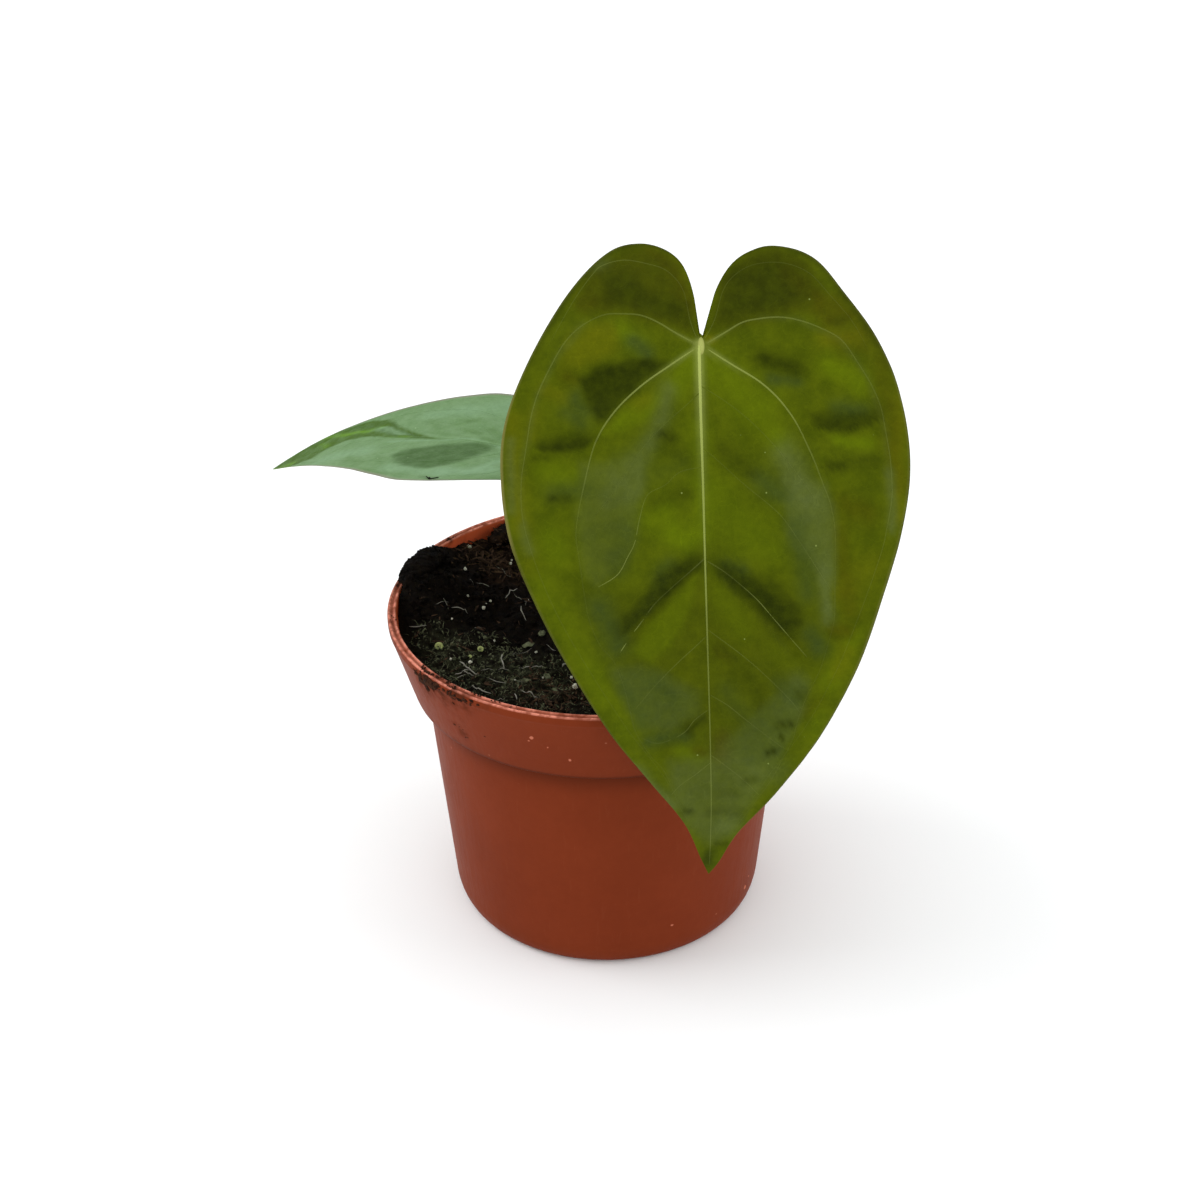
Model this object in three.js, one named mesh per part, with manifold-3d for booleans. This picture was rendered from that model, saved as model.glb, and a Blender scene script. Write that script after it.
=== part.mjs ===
// A young velvet-leaved anthurium with two heart-shaped leaves in a round plastic nursery pot.
// All sizes are in millimetres. The origin is the centre of the pot's underside, and +Z points up.
// The large leaf hangs towards -Y, and the smaller leaf is held out towards -X.
import * as THREE from "three";
import { mergeVertices } from "three/addons/utils/BufferGeometryUtils.js";
import Module from "manifold-3d";

const wasm = await Module();
wasm.setup();

// Clear space between pieces that touch.
const FIT_GAP = 0.3;

const POT = {
  height: 93.2,
  rimRadius: 60,
  lipWidth: 2.4,
  lipDepth: 2.6,
  collarRadius: 54.3,
  collarBottom: 70.7,
  bodyRadius: 50.6,
  heelRadius: 45.2,
  heelHeight: 7.7,
  baseRadius: 42.2,
  wall: 1.2,
  edgeRound: 0.8,
  segments: 64,
};

const DRAIN = { count: 8, radius: 3, circleRadius: 31, sides: 12 };

const SOIL = {
  level: 84.2,
  edgeDrop: 3,
  domeHeight: 2,
  domeRadius: 22,
  heapHeight: 9,
  heapAngle: 2.86,
  heapSpread: 0.42,
  heapStart: 26,
  heapEnd: 56,
  segments: 48,
  topRings: 12,
};

const STEM = { x: 1, y: -2, radius: 4.4, bottom: 66, top: 94, sides: 20 };

const PETIOLE = {
  radius: 1.55,
  sheathSwell: 0.55,
  sheathLength: 11,
  kneeSwell: 0.35,
  kneeLength: 6,
  kneePlace: 7,
  bottom: 89.5,
  offset: 2.3,
  sides: 10,
  steps: 26,
};

const CATAPHYLL = {
  radius: 5.05,
  bottom: 88,
  height: 25,
  halfAngle: 0.95,
  flare: 1.4,
  thickness: 0.7,
  rows: 10,
  columns: 8,
};

const BLADE = {
  thickness: 0.8,
  keelDepth: 0.9,
  keelWidth: 1.8,
  rowSlant: 0.85,
  veinSlope: 0.75,
  veinBend: 0.014,
  valleyWidth: 3.4,
};

// A leaf's outline is given as points (across, along), from the bottom of the sinus between its back
// lobes, round one side, to its tip. Across is measured from the midrib and along from the petiole.
// Headings and dips are in degrees: heading 0 points towards -Y, and dip is below the horizontal.
// A petiole leaves the stem at an angle round it (turn, in radians) and leans out by a slope, and its
// last stretch heads along endLean. Size is its thickness and its scale leaf's height, against the front's.
const FRONT_LEAF = {
  petiole: { turn: -0.68, lean: 0.2, endLean: [0.25, -0.45, 0.86], size: 1 },
  attach: [24.08, -22, 177.92],
  heading: -1.98,
  dipStart: 55.55,
  dipEnd: 81.55,
  length: 135.2,
  roll: 0,
  twist: 0,
  fold: 0.12,
  foldRadius: 6,
  droop: 0.0014,
  quilting: 1.2,
  lateralVeins: [13, 27, 40, 53.5, 71, 87, 103, 116],
  rows: 38,
  columns: 11,
  sideA: [
    [0.4, -1.4], [-0.7, -6], [-1.4, -12.5], [-3.6, -18.6], [-7.6, -22.8], [-14.1, -24.6], [-22, -22.3],
    [-31.8, -12.4], [-41.4, 3.1], [-47.8, 18], [-49.5, 31], [-47.9, 47], [-42, 63], [-34.2, 79],
    [-24.2, 96.1], [-14.3, 109.5], [-6.2, 120.6], [-2, 130.6], [0, 135.2],
  ],
  sideB: [
    [0.4, -1.4], [2.4, -6], [4, -13], [7.6, -18.4], [12.6, -21.9], [19.1, -23], [28, -19.8],
    [35.3, -10.8], [42.9, 1.2], [47.9, 14.8], [49.9, 30.4], [47.7, 46.7], [42.6, 64], [36.2, 81.4],
    [27.4, 98], [17.2, 112.3], [7.7, 123.2], [2.6, 131.8], [0, 135.2],
  ],
};

const LEFT_LEAF_SIDE = [
  [0, -1], [0.7, -5], [1.7, -10.2], [4.7, -14.6], [9.2, -16], [14.6, -14.4], [21, -8], [27, 2],
  [30.8, 12.2], [30.8, 22], [26.8, 31.5], [20.6, 44], [14.3, 57], [8.2, 70], [3.6, 79.8], [0, 87.5],
];

const LEFT_LEAF = {
  petiole: { turn: 2.5, lean: 0.42, endLean: [-0.5, 0.3, 0.85], size: 0.8 },
  attach: [-22, 14, 132.3],
  heading: 114.5,
  dipStart: -3,
  dipEnd: 32,
  length: 87.5,
  roll: 3.3,
  twist: -14,
  fold: 0.06,
  foldRadius: 4,
  droop: 0.0003,
  quilting: 0.6,
  lateralVeins: [9, 18, 28, 38, 49, 60, 70],
  rows: 28,
  columns: 7,
  sideA: LEFT_LEAF_SIDE.map(([across, along]) => [-across, along]),
  sideB: LEFT_LEAF_SIDE,
};

// Colours and finishes.
const TERRACOTTA_PLASTIC = { color: 0x9c4a30, roughness: 0.42, metalness: 0 };
const DARK_PEAT = { color: 0x17120d, roughness: 0.95, metalness: 0 };
const OLIVE_VELVET = { color: 0x4f5f0e, roughness: 0.6, metalness: 0 };
const GREY_GREEN_VELVET = { color: 0x6f9a68, roughness: 0.5, metalness: 0 };
const PETIOLE_GREEN = { color: 0x6c8a35, roughness: 0.45, metalness: 0 };
const STEM_GREEN = { color: 0x6a6b38, roughness: 0.6, metalness: 0 };
const DRY_PAPER_BROWN = { color: 0x8a6038, roughness: 0.8, metalness: 0 };

// Closed bodies from triangles.

// Merges shared corners, drops collapsed triangles and turns the faces outwards.
function closedBody(geometry) {
  const bare = geometry.index ? geometry.toNonIndexed() : geometry.clone();
  bare.deleteAttribute("normal");
  bare.deleteAttribute("uv");
  const merged = mergeVertices(bare, 1e-3);
  const corners = merged.index.array;
  const place = merged.attributes.position;
  const kept = [];
  let sixVolumes = 0;
  for (let i = 0; i < corners.length; i += 3) {
    const [a, b, c] = [corners[i], corners[i + 1], corners[i + 2]];
    if (a === b || b === c || c === a) continue;
    kept.push(a, b, c);
    const [p, q, r] = [a, b, c].map((n) => new THREE.Vector3().fromBufferAttribute(place, n));
    sixVolumes += p.dot(q.cross(r));
  }
  if (sixVolumes < 0) kept.reverse();
  merged.setIndex(kept);
  return merged;
}

function solidOf(geometry) {
  const body = closedBody(geometry);
  const vertProperties = new Float32Array(body.attributes.position.array);
  const triVerts = new Uint32Array(body.index.array);
  return new wasm.Manifold(new wasm.Mesh({ numProp: 3, vertProperties, triVerts }));
}

function geometryOf(solid) {
  const { numProp, vertProperties, triVerts } = solid.getMesh();
  const geometry = new THREE.BufferGeometry();
  const points = new THREE.InterleavedBuffer(vertProperties, numProp);
  geometry.setAttribute("position", new THREE.InterleavedBufferAttribute(points, 3, 0));
  geometry.setIndex(new THREE.BufferAttribute(triVerts, 1));
  return geometry.toNonIndexed();
}

function cut(geometry, ...tools) {
  const rest = tools.reduce((solid, tool) => solid.subtract(solidOf(tool)), solidOf(geometry));
  return geometryOf(rest);
}

function fromCorners(corners) {
  return new THREE.BufferGeometry().setFromPoints(corners);
}

// Rings of points, joined ring to ring. The first and last rings are single points.
function ringedBody(rings) {
  const corners = [];
  for (let i = 0; i + 1 < rings.length; i += 1) {
    const [low, high] = [rings[i], rings[i + 1]];
    for (let j = 0; j < low.length; j += 1) {
      const next = (j + 1) % low.length;
      corners.push(low[j], low[next], high[next], low[j], high[next], high[j]);
    }
  }
  return closedBody(fromCorners(corners));
}

// A thin sheet: a grid of points on its upper face, the same grid on its lower face, and a wall along
// its border. A sheet sewn at the start has its first row folded onto itself, and needs no wall there.
function sheetBody(upper, lower, sewnAtStart) {
  const corners = [];
  const quad = (a, b, c, d) => corners.push(a, b, c, a, c, d);
  const lastRow = upper.length - 1;
  const lastColumn = upper[0].length - 1;
  for (let i = 0; i < lastRow; i += 1) {
    for (let j = 0; j < lastColumn; j += 1) {
      quad(upper[i][j], upper[i + 1][j], upper[i + 1][j + 1], upper[i][j + 1]);
      quad(lower[i][j + 1], lower[i + 1][j + 1], lower[i + 1][j], lower[i][j]);
    }
    quad(upper[i][0], lower[i][0], lower[i + 1][0], upper[i + 1][0]);
    quad(upper[i + 1][lastColumn], lower[i + 1][lastColumn], lower[i][lastColumn], upper[i][lastColumn]);
  }
  for (let j = 0; j < lastColumn; j += 1) {
    quad(upper[lastRow][j], lower[lastRow][j], lower[lastRow][j + 1], upper[lastRow][j + 1]);
    if (!sewnAtStart) quad(upper[0][j + 1], lower[0][j + 1], lower[0][j], upper[0][j]);
  }
  return closedBody(fromCorners(corners));
}

function gridOf(rows, columns, pointAt) {
  return Array.from({ length: rows + 1 }, (_, i) =>
    Array.from({ length: columns + 1 }, (_unit, j) => pointAt(i / rows, j / columns)),
  );
}

// A lathe turned about Z, from a profile of [radius, height] pairs that starts and ends on the axis.
function turned(profile, segments) {
  const lathe = new THREE.LatheGeometry(profile.map(([r, z]) => new THREE.Vector2(r, z)), segments);
  return closedBody(lathe.rotateX(Math.PI / 2));
}

// Pot.

// The collar's inner radius at a height. It narrows at the lip.
function collarInnerRadius(height) {
  const rise = (height - POT.collarBottom) / (POT.height - POT.collarBottom);
  const plain = POT.collarRadius + (POT.rimRadius - POT.collarRadius) * rise - POT.wall;
  return Math.min(plain, POT.rimRadius - POT.lipWidth);
}

function potGeometry() {
  const { height, rimRadius, lipWidth, lipDepth, collarRadius, collarBottom, bodyRadius } = POT;
  const { heelRadius, heelHeight, baseRadius, wall, edgeRound } = POT;
  const heel = new THREE.QuadraticBezierCurve(
    new THREE.Vector2(baseRadius, 0),
    new THREE.Vector2(heelRadius - 0.4, edgeRound),
    new THREE.Vector2(heelRadius, heelHeight),
  );
  const outerHeel = heel.getPoints(4).map((p) => [p.x, p.y]);
  const innerHeel = outerHeel.map(([r, z]) => [r - wall, Math.max(z, wall)]).reverse();
  const lipInner = rimRadius - lipWidth;
  const lipBottom = height - lipDepth;
  const profile = [
    [0, 0],
    ...outerHeel,
    [bodyRadius, collarBottom],
    [collarRadius - edgeRound, collarBottom],
    [collarRadius, collarBottom + edgeRound],
    [rimRadius, height - edgeRound],
    [rimRadius - edgeRound * 0.6, height],
    [rimRadius - lipWidth / 2, height - edgeRound * 0.4],
    [lipInner + edgeRound * 0.5, height],
    [lipInner, height - edgeRound],
    [lipInner, lipBottom],
    [collarInnerRadius(lipBottom - wall), lipBottom - wall],
    [collarInnerRadius(collarBottom + wall), collarBottom + wall],
    [bodyRadius - wall, collarBottom + wall],
    ...innerHeel,
    [0, wall],
  ];
  const drains = Array.from({ length: DRAIN.count }, (_, i) => {
    const angle = (2 * Math.PI * (i + 0.5)) / DRAIN.count;
    const hole = new THREE.CylinderGeometry(DRAIN.radius, DRAIN.radius, 4 * wall, DRAIN.sides);
    hole.rotateX(Math.PI / 2);
    return hole.translate(DRAIN.circleRadius * Math.cos(angle), DRAIN.circleRadius * Math.sin(angle), 0);
  });
  return cut(turned(profile, POT.segments), ...drains);
}

// Soil.

// The level top swells gently towards the stem and climbs in a heap against one stretch of the wall.
function soilHeight(x, y) {
  const radius = Math.hypot(x, y);
  const turn = Math.atan2(y, x) - SOIL.heapAngle;
  const offHeap = Math.abs(Math.atan2(Math.sin(turn), Math.cos(turn)));
  const heapRise = THREE.MathUtils.smoothstep(radius, SOIL.heapStart, SOIL.heapEnd);
  const heap = SOIL.heapHeight * Math.exp(-((offHeap / SOIL.heapSpread) ** 2)) * heapRise;
  const dome = SOIL.domeHeight * Math.exp(-((radius / SOIL.domeRadius) ** 2));
  const broadLumps = 0.8 * Math.sin(0.23 * x + 0.9) * Math.sin(0.19 * y + 0.4);
  const smallLumps = 0.5 * Math.sin(0.41 * x - 0.33 * y);
  return SOIL.level + heap + dome + broadLumps + smallLumps;
}

function stemHole() {
  const radius = STEM.radius + FIT_GAP;
  const bottom = STEM.bottom - FIT_GAP;
  const depth = SOIL.level + 2 * SOIL.heapHeight - bottom;
  const hole = new THREE.CylinderGeometry(radius, radius, depth, STEM.sides).rotateX(Math.PI / 2);
  return hole.translate(STEM.x, STEM.y, bottom + depth / 2);
}

// Soil that fills the pot: a floor, a wall that follows the pot's inside, and an uneven heaped top.
function soilGeometry() {
  const angles = Array.from({ length: SOIL.segments }, (_, i) => (2 * Math.PI * i) / SOIL.segments);
  const ring = (radiusAt, heightAt) => angles.map((angle) => {
    const [x, y] = [radiusAt(angle) * Math.cos(angle), radiusAt(angle) * Math.sin(angle)];
    return new THREE.Vector3(x, y, heightAt(x, y));
  });
  const flatRing = (radius, height) => ring(() => radius, () => height);
  const insideWall = (height) => collarInnerRadius(height) - FIT_GAP;
  const lipInner = POT.rimRadius - POT.lipWidth - FIT_GAP;
  const edgeHeight = (angle) => soilHeight(lipInner * Math.cos(angle), lipInner * Math.sin(angle));
  const edgeRadius = (angle) => insideWall(edgeHeight(angle));
  const floor = POT.wall + FIT_GAP;
  const ledge = POT.collarBottom + POT.wall + FIT_GAP;
  const rings = [
    flatRing(0, floor),
    flatRing(POT.baseRadius - POT.wall - FIT_GAP, floor),
    flatRing(POT.heelRadius - POT.wall - FIT_GAP, POT.heelHeight),
    flatRing(POT.bodyRadius - POT.wall - FIT_GAP, ledge),
    flatRing(insideWall(ledge), ledge),
    flatRing(insideWall(SOIL.level - SOIL.edgeDrop), SOIL.level - SOIL.edgeDrop),
    ring(edgeRadius, soilHeight),
  ];
  for (let i = SOIL.topRings - 1; i > 0; i -= 1) {
    rings.push(ring((angle) => (edgeRadius(angle) * i) / SOIL.topRings, soilHeight));
  }
  rings.push(ring(() => 0, soilHeight));
  return cut(ringedBody(rings), stemHole());
}

// Stem: a short stump with the scars of earlier leaves round it.
function stemProfile(grow) {
  const { radius, bottom, top } = STEM;
  return [
    [0, bottom - grow],
    [radius * 0.75 + grow, bottom - grow],
    [radius + grow, bottom + 3],
    [radius + grow, top - 9],
    [radius * 0.93 + grow, top - 8],
    [radius + grow, top - 6.5],
    [radius * 0.97 + grow, top - 3.5],
    [radius * 0.72 + grow, top - 1.2],
    [0, top + grow],
  ];
}

function stemGeometry(grow = 0) {
  return turned(stemProfile(grow), STEM.sides).translate(STEM.x, STEM.y, 0);
}

// Leaves.

// The midrib bends at a constant rate in a vertical plane. At a distance along it this gives its point,
// the direction across the blade and the direction out of the blade's upper face.
function midribFrame(leaf, along) {
  const heading = THREE.MathUtils.degToRad(leaf.heading);
  const start = THREE.MathUtils.degToRad(leaf.dipStart);
  const bend = THREE.MathUtils.degToRad(leaf.dipEnd - leaf.dipStart) / leaf.length;
  const dip = start + bend * along;
  const out = new THREE.Vector3(-Math.sin(heading), -Math.cos(heading), 0);
  const side = new THREE.Vector3(Math.cos(heading), -Math.sin(heading), 0);
  const up = new THREE.Vector3(0, 0, 1);
  const point = new THREE.Vector3(...leaf.attach)
    .addScaledVector(out, (Math.sin(dip) - Math.sin(start)) / bend)
    .addScaledVector(up, (Math.cos(dip) - Math.cos(start)) / bend);
  const flatNormal = out.clone().multiplyScalar(Math.sin(dip)).addScaledVector(up, Math.cos(dip));
  const roll = THREE.MathUtils.degToRad(leaf.roll + (leaf.twist * along) / leaf.length);
  const across = side.clone().multiplyScalar(Math.cos(roll)).addScaledVector(flatNormal, Math.sin(roll));
  const normal = flatNormal.multiplyScalar(Math.cos(roll)).addScaledVector(side, -Math.sin(roll));
  return { point, across, normal };
}

// Valleys along the lateral veins, which leave the midrib at a slant and bend towards the tip.
function quilting(leaf, across, along) {
  const reach = Math.abs(across);
  const origin = along - BLADE.veinSlope * reach - BLADE.veinBend * across * across;
  const depth = leaf.lateralVeins.reduce(
    (sum, vein) => sum + Math.exp(-(((origin - vein) / BLADE.valleyWidth) ** 2)),
    0,
  );
  const halfWidth = Math.max(...leaf.sideB.map(([u]) => u));
  const inner = THREE.MathUtils.smoothstep(reach, 0.04 * halfWidth, 0.25 * halfWidth);
  const outer = 1 - THREE.MathUtils.smoothstep(reach, 0.45 * halfWidth, 0.8 * halfWidth);
  return -leaf.quilting * depth * inner * outer;
}

// A point of the blade: folded up from the midrib, drooping towards its margins, and quilted.
function bladePoint(leaf, across, along, lift) {
  const { point, across: sideways, normal } = midribFrame(leaf, along);
  const folded = leaf.fold * (Math.hypot(across, leaf.foldRadius) - leaf.foldRadius);
  const drooping = leaf.droop * across * across;
  const height = folded - drooping + quilting(leaf, across, along) + lift;
  return point.addScaledVector(sideways, across).addScaledVector(normal, height);
}

// Rows run from one margin over the midrib to the other. In the back lobes every row starts at the
// petiole, and further on the rows start along the midrib and slant towards the tip as the veins do.
function bladeGeometry(leaf) {
  const margins = [leaf.sideA, leaf.sideB].map(
    (side) => new THREE.SplineCurve(side.map(([u, v]) => new THREE.Vector2(u, v))),
  );
  const place = (s, c) => {
    const [a, b] = margins.map((margin) => margin.getPoint(s));
    const reach = (b.x - a.x) / 2;
    const spine = Math.max(0, (a.y + b.y) / 2 - BLADE.rowSlant * reach);
    const share = Math.abs(2 * c - 1);
    const margin = c < 0.5 ? a : b;
    return [share * margin.x, spine + share * (margin.y - spine)];
  };
  const face = (lift, keel) => gridOf(leaf.rows, 2 * leaf.columns, (s, c) => {
    const [across, along] = place(s, c);
    const tapering = 1 - Math.max(0, along) / leaf.length;
    const rib = keel * tapering * Math.exp(-((across / BLADE.keelWidth) ** 2));
    return bladePoint(leaf, across, along, lift - rib);
  });
  return sheetBody(face(0, 0), face(-BLADE.thickness, BLADE.keelDepth), true);
}

// A round petiole, swollen where it sheathes the stem and at the knee under the blade.
function petioleGeometry(leaf) {
  const { size } = leaf.petiole;
  const curve = petioleCurve(leaf);
  const length = curve.getLength();
  const frames = curve.computeFrenetFrames(PETIOLE.steps, false);
  const rings = Array.from({ length: PETIOLE.steps + 1 }, (_, i) => {
    const centre = curve.getPointAt(i / PETIOLE.steps);
    const walked = (length * i) / PETIOLE.steps;
    const sheath = PETIOLE.sheathSwell * Math.exp(-((walked / PETIOLE.sheathLength) ** 2));
    const fromKnee = length - PETIOLE.kneePlace - walked;
    const knee = PETIOLE.kneeSwell * Math.exp(-((fromKnee / PETIOLE.kneeLength) ** 2));
    const radius = size * PETIOLE.radius * (1 + sheath + knee);
    return Array.from({ length: PETIOLE.sides }, (_unit, j) => {
      const angle = (2 * Math.PI * j) / PETIOLE.sides;
      return centre
        .clone()
        .addScaledVector(frames.normals[i], radius * Math.cos(angle))
        .addScaledVector(frames.binormals[i], radius * Math.sin(angle));
    });
  });
  const capStart = Array(PETIOLE.sides).fill(curve.getPointAt(0));
  const dome = frames.tangents[PETIOLE.steps].clone().multiplyScalar(0.5 * size * PETIOLE.radius);
  const capEnd = Array(PETIOLE.sides).fill(curve.getPointAt(1).add(dome));
  return cut(ringedBody([capStart, ...rings, capEnd]), stemGeometry(FIT_GAP));
}

// The curve leaves the stem's top on the side of its leaf, leaning outwards, and ends just under the blade.
function petioleCurve(leaf) {
  const { turn, lean, endLean, size } = leaf.petiole;
  const { point, normal } = midribFrame(leaf, 0.9);
  const outwards = new THREE.Vector3(Math.cos(turn), Math.sin(turn), 0);
  const stemTop = new THREE.Vector3(STEM.x, STEM.y, PETIOLE.bottom);
  const start = stemTop.addScaledVector(outwards, size * PETIOLE.offset);
  const under = BLADE.thickness + BLADE.keelDepth + FIT_GAP + 0.8 * size * PETIOLE.radius;
  const end = point.addScaledVector(normal, -under);
  const reach = start.distanceTo(end) / 3;
  const startLean = outwards.clone().multiplyScalar(lean).setZ(1).normalize();
  const first = start.clone().addScaledVector(startLean, reach);
  const second = end.clone().addScaledVector(new THREE.Vector3(...endLean).normalize(), -reach);
  return new THREE.CubicBezierCurve3(start, first, second, end);
}

// A dry pointed scale leaf that stands against the stem, leans out with its petiole and narrows to a tip.
function cataphyllGeometry(leaf) {
  const { turn, lean, size } = leaf.petiole;
  const face = (extra) => gridOf(CATAPHYLL.rows, CATAPHYLL.columns, (t, c) => {
    const angle = turn + CATAPHYLL.halfAngle * (2 * c - 1) * Math.sqrt(1 - t);
    const rise = size * CATAPHYLL.height * t;
    const radius = CATAPHYLL.radius + extra + lean * rise + CATAPHYLL.flare * t * t;
    const [x, y] = [STEM.x + radius * Math.cos(angle), STEM.y + radius * Math.sin(angle)];
    return new THREE.Vector3(x, y, CATAPHYLL.bottom + rise);
  });
  return sheetBody(face(CATAPHYLL.thickness), face(0), false);
}

// The finished plant.

function piece(name, geometry, finish) {
  const mesh = new THREE.Mesh(geometry, new THREE.MeshStandardMaterial(finish));
  mesh.name = name;
  return mesh;
}

const pot = piece("pot", potGeometry(), TERRACOTTA_PLASTIC);
const soil = piece("soil", soilGeometry(), DARK_PEAT);

const frontLeaf = new THREE.Group();
frontLeaf.add(
  piece("front_petiole", petioleGeometry(FRONT_LEAF), PETIOLE_GREEN),
  piece("front_blade", bladeGeometry(FRONT_LEAF), OLIVE_VELVET),
  piece("front_cataphyll", cataphyllGeometry(FRONT_LEAF), DRY_PAPER_BROWN),
);

const leftLeaf = new THREE.Group();
leftLeaf.add(
  piece("left_petiole", petioleGeometry(LEFT_LEAF), PETIOLE_GREEN),
  piece("left_blade", bladeGeometry(LEFT_LEAF), GREY_GREEN_VELVET),
  piece("left_cataphyll", cataphyllGeometry(LEFT_LEAF), DRY_PAPER_BROWN),
);

const plant = new THREE.Group();
plant.add(piece("stem", stemGeometry(), STEM_GREEN), frontLeaf, leftLeaf);

const group = new THREE.Group();
group.add(pot, soil, plant);

export default group;
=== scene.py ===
import math

import bpy
import numpy as np
from mathutils import Matrix, Vector


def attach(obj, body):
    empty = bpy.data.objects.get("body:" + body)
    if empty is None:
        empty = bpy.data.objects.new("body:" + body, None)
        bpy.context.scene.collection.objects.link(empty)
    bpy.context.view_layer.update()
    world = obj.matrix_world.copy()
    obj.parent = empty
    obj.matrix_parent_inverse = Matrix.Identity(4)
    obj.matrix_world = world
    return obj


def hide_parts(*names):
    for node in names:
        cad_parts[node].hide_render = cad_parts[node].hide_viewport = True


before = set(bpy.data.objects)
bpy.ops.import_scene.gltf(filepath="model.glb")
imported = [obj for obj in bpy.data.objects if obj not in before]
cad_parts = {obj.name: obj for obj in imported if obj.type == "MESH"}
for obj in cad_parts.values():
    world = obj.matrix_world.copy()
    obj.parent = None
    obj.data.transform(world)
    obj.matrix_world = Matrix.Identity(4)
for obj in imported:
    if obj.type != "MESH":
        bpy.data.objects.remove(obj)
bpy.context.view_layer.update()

# A young velvet-leaved anthurium in a terracotta-coloured nursery pot, dressed piece by piece.
# Shapes are worked out in millimetres and put into the meshes in metres.
MM = 0.001
BODY = "root"

# Sizes that the solids give as well.
POT = dict(height=93.2, rim_radius=60, lip_width=2.4, lip_depth=2.6, collar_radius=54.3, collar_bottom=70.7,
           body_radius=50.6, heel_radius=45.2, heel_height=7.7, base_radius=42.2, wall=1.2, edge_round=0.8)
DRAIN = dict(count=8, radius=3, circle=31)
SOIL = dict(level=84.2, dome_height=2, dome_radius=22, heap_height=9, heap_angle=2.86, heap_spread=0.42,
            heap_start=26, heap_end=56, gap=0.3)
STEM = dict(x=1, y=-2, radius=4.4, bottom=66, top=94)
PETIOLE = dict(radius=1.55, sheath_swell=0.55, sheath_length=11, knee_swell=0.35, knee_length=6,
               knee_place=7, bottom=89.5, offset=2.3)
CATAPHYLL = dict(radius=5.05, gap=0.35, bottom=88, height=25, half_angle=0.95, flare=1.4, thickness=0.5)
BLADE = dict(thickness=0.8, keel=0.9, row_slant=0.85, vein_slope=0.75, vein_bend=0.014)

# Leaves. Places on a blade are (across, along): across from the midrib, along from the petiole to the tip.
# Valleys run along the side veins of the inner field: (where the vein leaves the midrib, depth). Dents lie
# between the outer veins: (from across, along, to across, along, width, depth).
FRONT_LEAF = dict(
    turn=-0.68, lean=0.2, end_lean=(0.25, -0.45, 0.86), size=1.0, attach=(24.08, -22, 177.92), heading=-1.98,
    dips=(55.55, 81.55), length=135.2, roll=0.0, twist=0.0,
    pale_margin=[(-50, 12, -49, 46, 5, 1.0), (49, 60, 40, 82, 5, 0.4)], margin_width=0.018, fold=0.12,
    fold_radius=6.0, droop=0.0014, sheet=0.45, reach=49.9, ruffle=0.35, unevenness=0.3, vein_strength=0.62,
    side_a=[
        (0.4, -1.4), (-0.9, -3.6), (-1.3, -11), (-3.6, -18.6), (-7.6, -22.8), (-14.1, -24.6), (-22, -22.3),
        (-31.8, -12.4), (-41.4, 3.1), (-47.8, 18), (-49.5, 31), (-47.9, 47), (-42, 63), (-34.2, 79),
        (-24.2, 96.1), (-14.3, 109.5), (-6.2, 120.6), (-2, 130.6), (0, 135.2)],
    side_b=[
        (0.4, -1.4), (2.1, -3.6), (3.6, -11.5), (7.6, -18.4), (12.6, -21.9), (19.1, -23), (28, -19.8),
        (35.3, -10.8), (42.9, 1.2), (47.9, 14.8), (49.9, 30.4), (47.7, 46.7), (42.6, 64), (36.2, 81.4),
        (27.4, 98), (17.2, 112.3), (7.7, 123.2), (2.6, 131.8), (0, 135.2)],
    valleys=[(15.7, 0.5), (30.2, 0.45), (53.8, 1.5), (73.1, 0.4), (89.5, 0.8), (105.1, 0.35), (117.2, 0.25)],
    dents=[
        (-27, 10, -11, 4.5, 4.5, 1.3), (-30, 14, -18, 13, 4, 0.9), (-41, 29, -29, 26, 4, 1.1),
        (-38, 40, -31, 39, 3.5, 0.8), (15, 7, 25, 12, 4, 0.9), (25, 23, 41, 24.5, 4, 1.3),
        (31, 35.5, 44, 34, 4, 1.1), (34, 50, 44, 47, 4.5, 0.5), (-41, 53, -33, 51, 4.5, 0.5),
        (-33, 2, -15, -6, 5, -0.9), (20, -6, 34, 4, 6, -0.7), (-12, -14, -22, -13, 6, -0.6)])
SMALL_SIDE = [
    (0, -1), (0.7, -5), (1.7, -10.2), (4.7, -14.6), (9.2, -16), (14.6, -14.4), (21, -8), (27, 2),
    (30.8, 12.2), (30.8, 22), (26.8, 31.5), (20.6, 44), (14.3, 57), (8.2, 70), (3.6, 79.8), (0, 87.5)]
LEFT_LEAF = dict(
    turn=2.5, lean=0.42, end_lean=(-0.5, 0.3, 0.85), size=0.8, attach=(-22, 14, 132.3), heading=114.5,
    dips=(-3, 32), length=87.5, roll=3.3, twist=-14.0,
    pale_margin=[(-31, 10, -14, 60, 8, 0.95), (31, 10, 10, 66, 8, 0.9)], margin_width=0.045, fold=0.06,
    fold_radius=4.0, droop=0.0003, sheet=0.4, reach=30.8, ruffle=0.0, unevenness=0.1, vein_strength=0.2,
    side_a=[(-across, along) for across, along in SMALL_SIDE], side_b=SMALL_SIDE,
    valleys=[(9, 0.12), (18, 0.15), (28, 0.2), (38, 0.2), (49, 0.2), (60, 0.12), (70, 0.1)],
    dents=[(10, 2, 20, 8, 3, 0.4), (18, 17, 26, 20, 3, 0.5), (-20, 17, -12, 12, 3, 0.4)])

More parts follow.
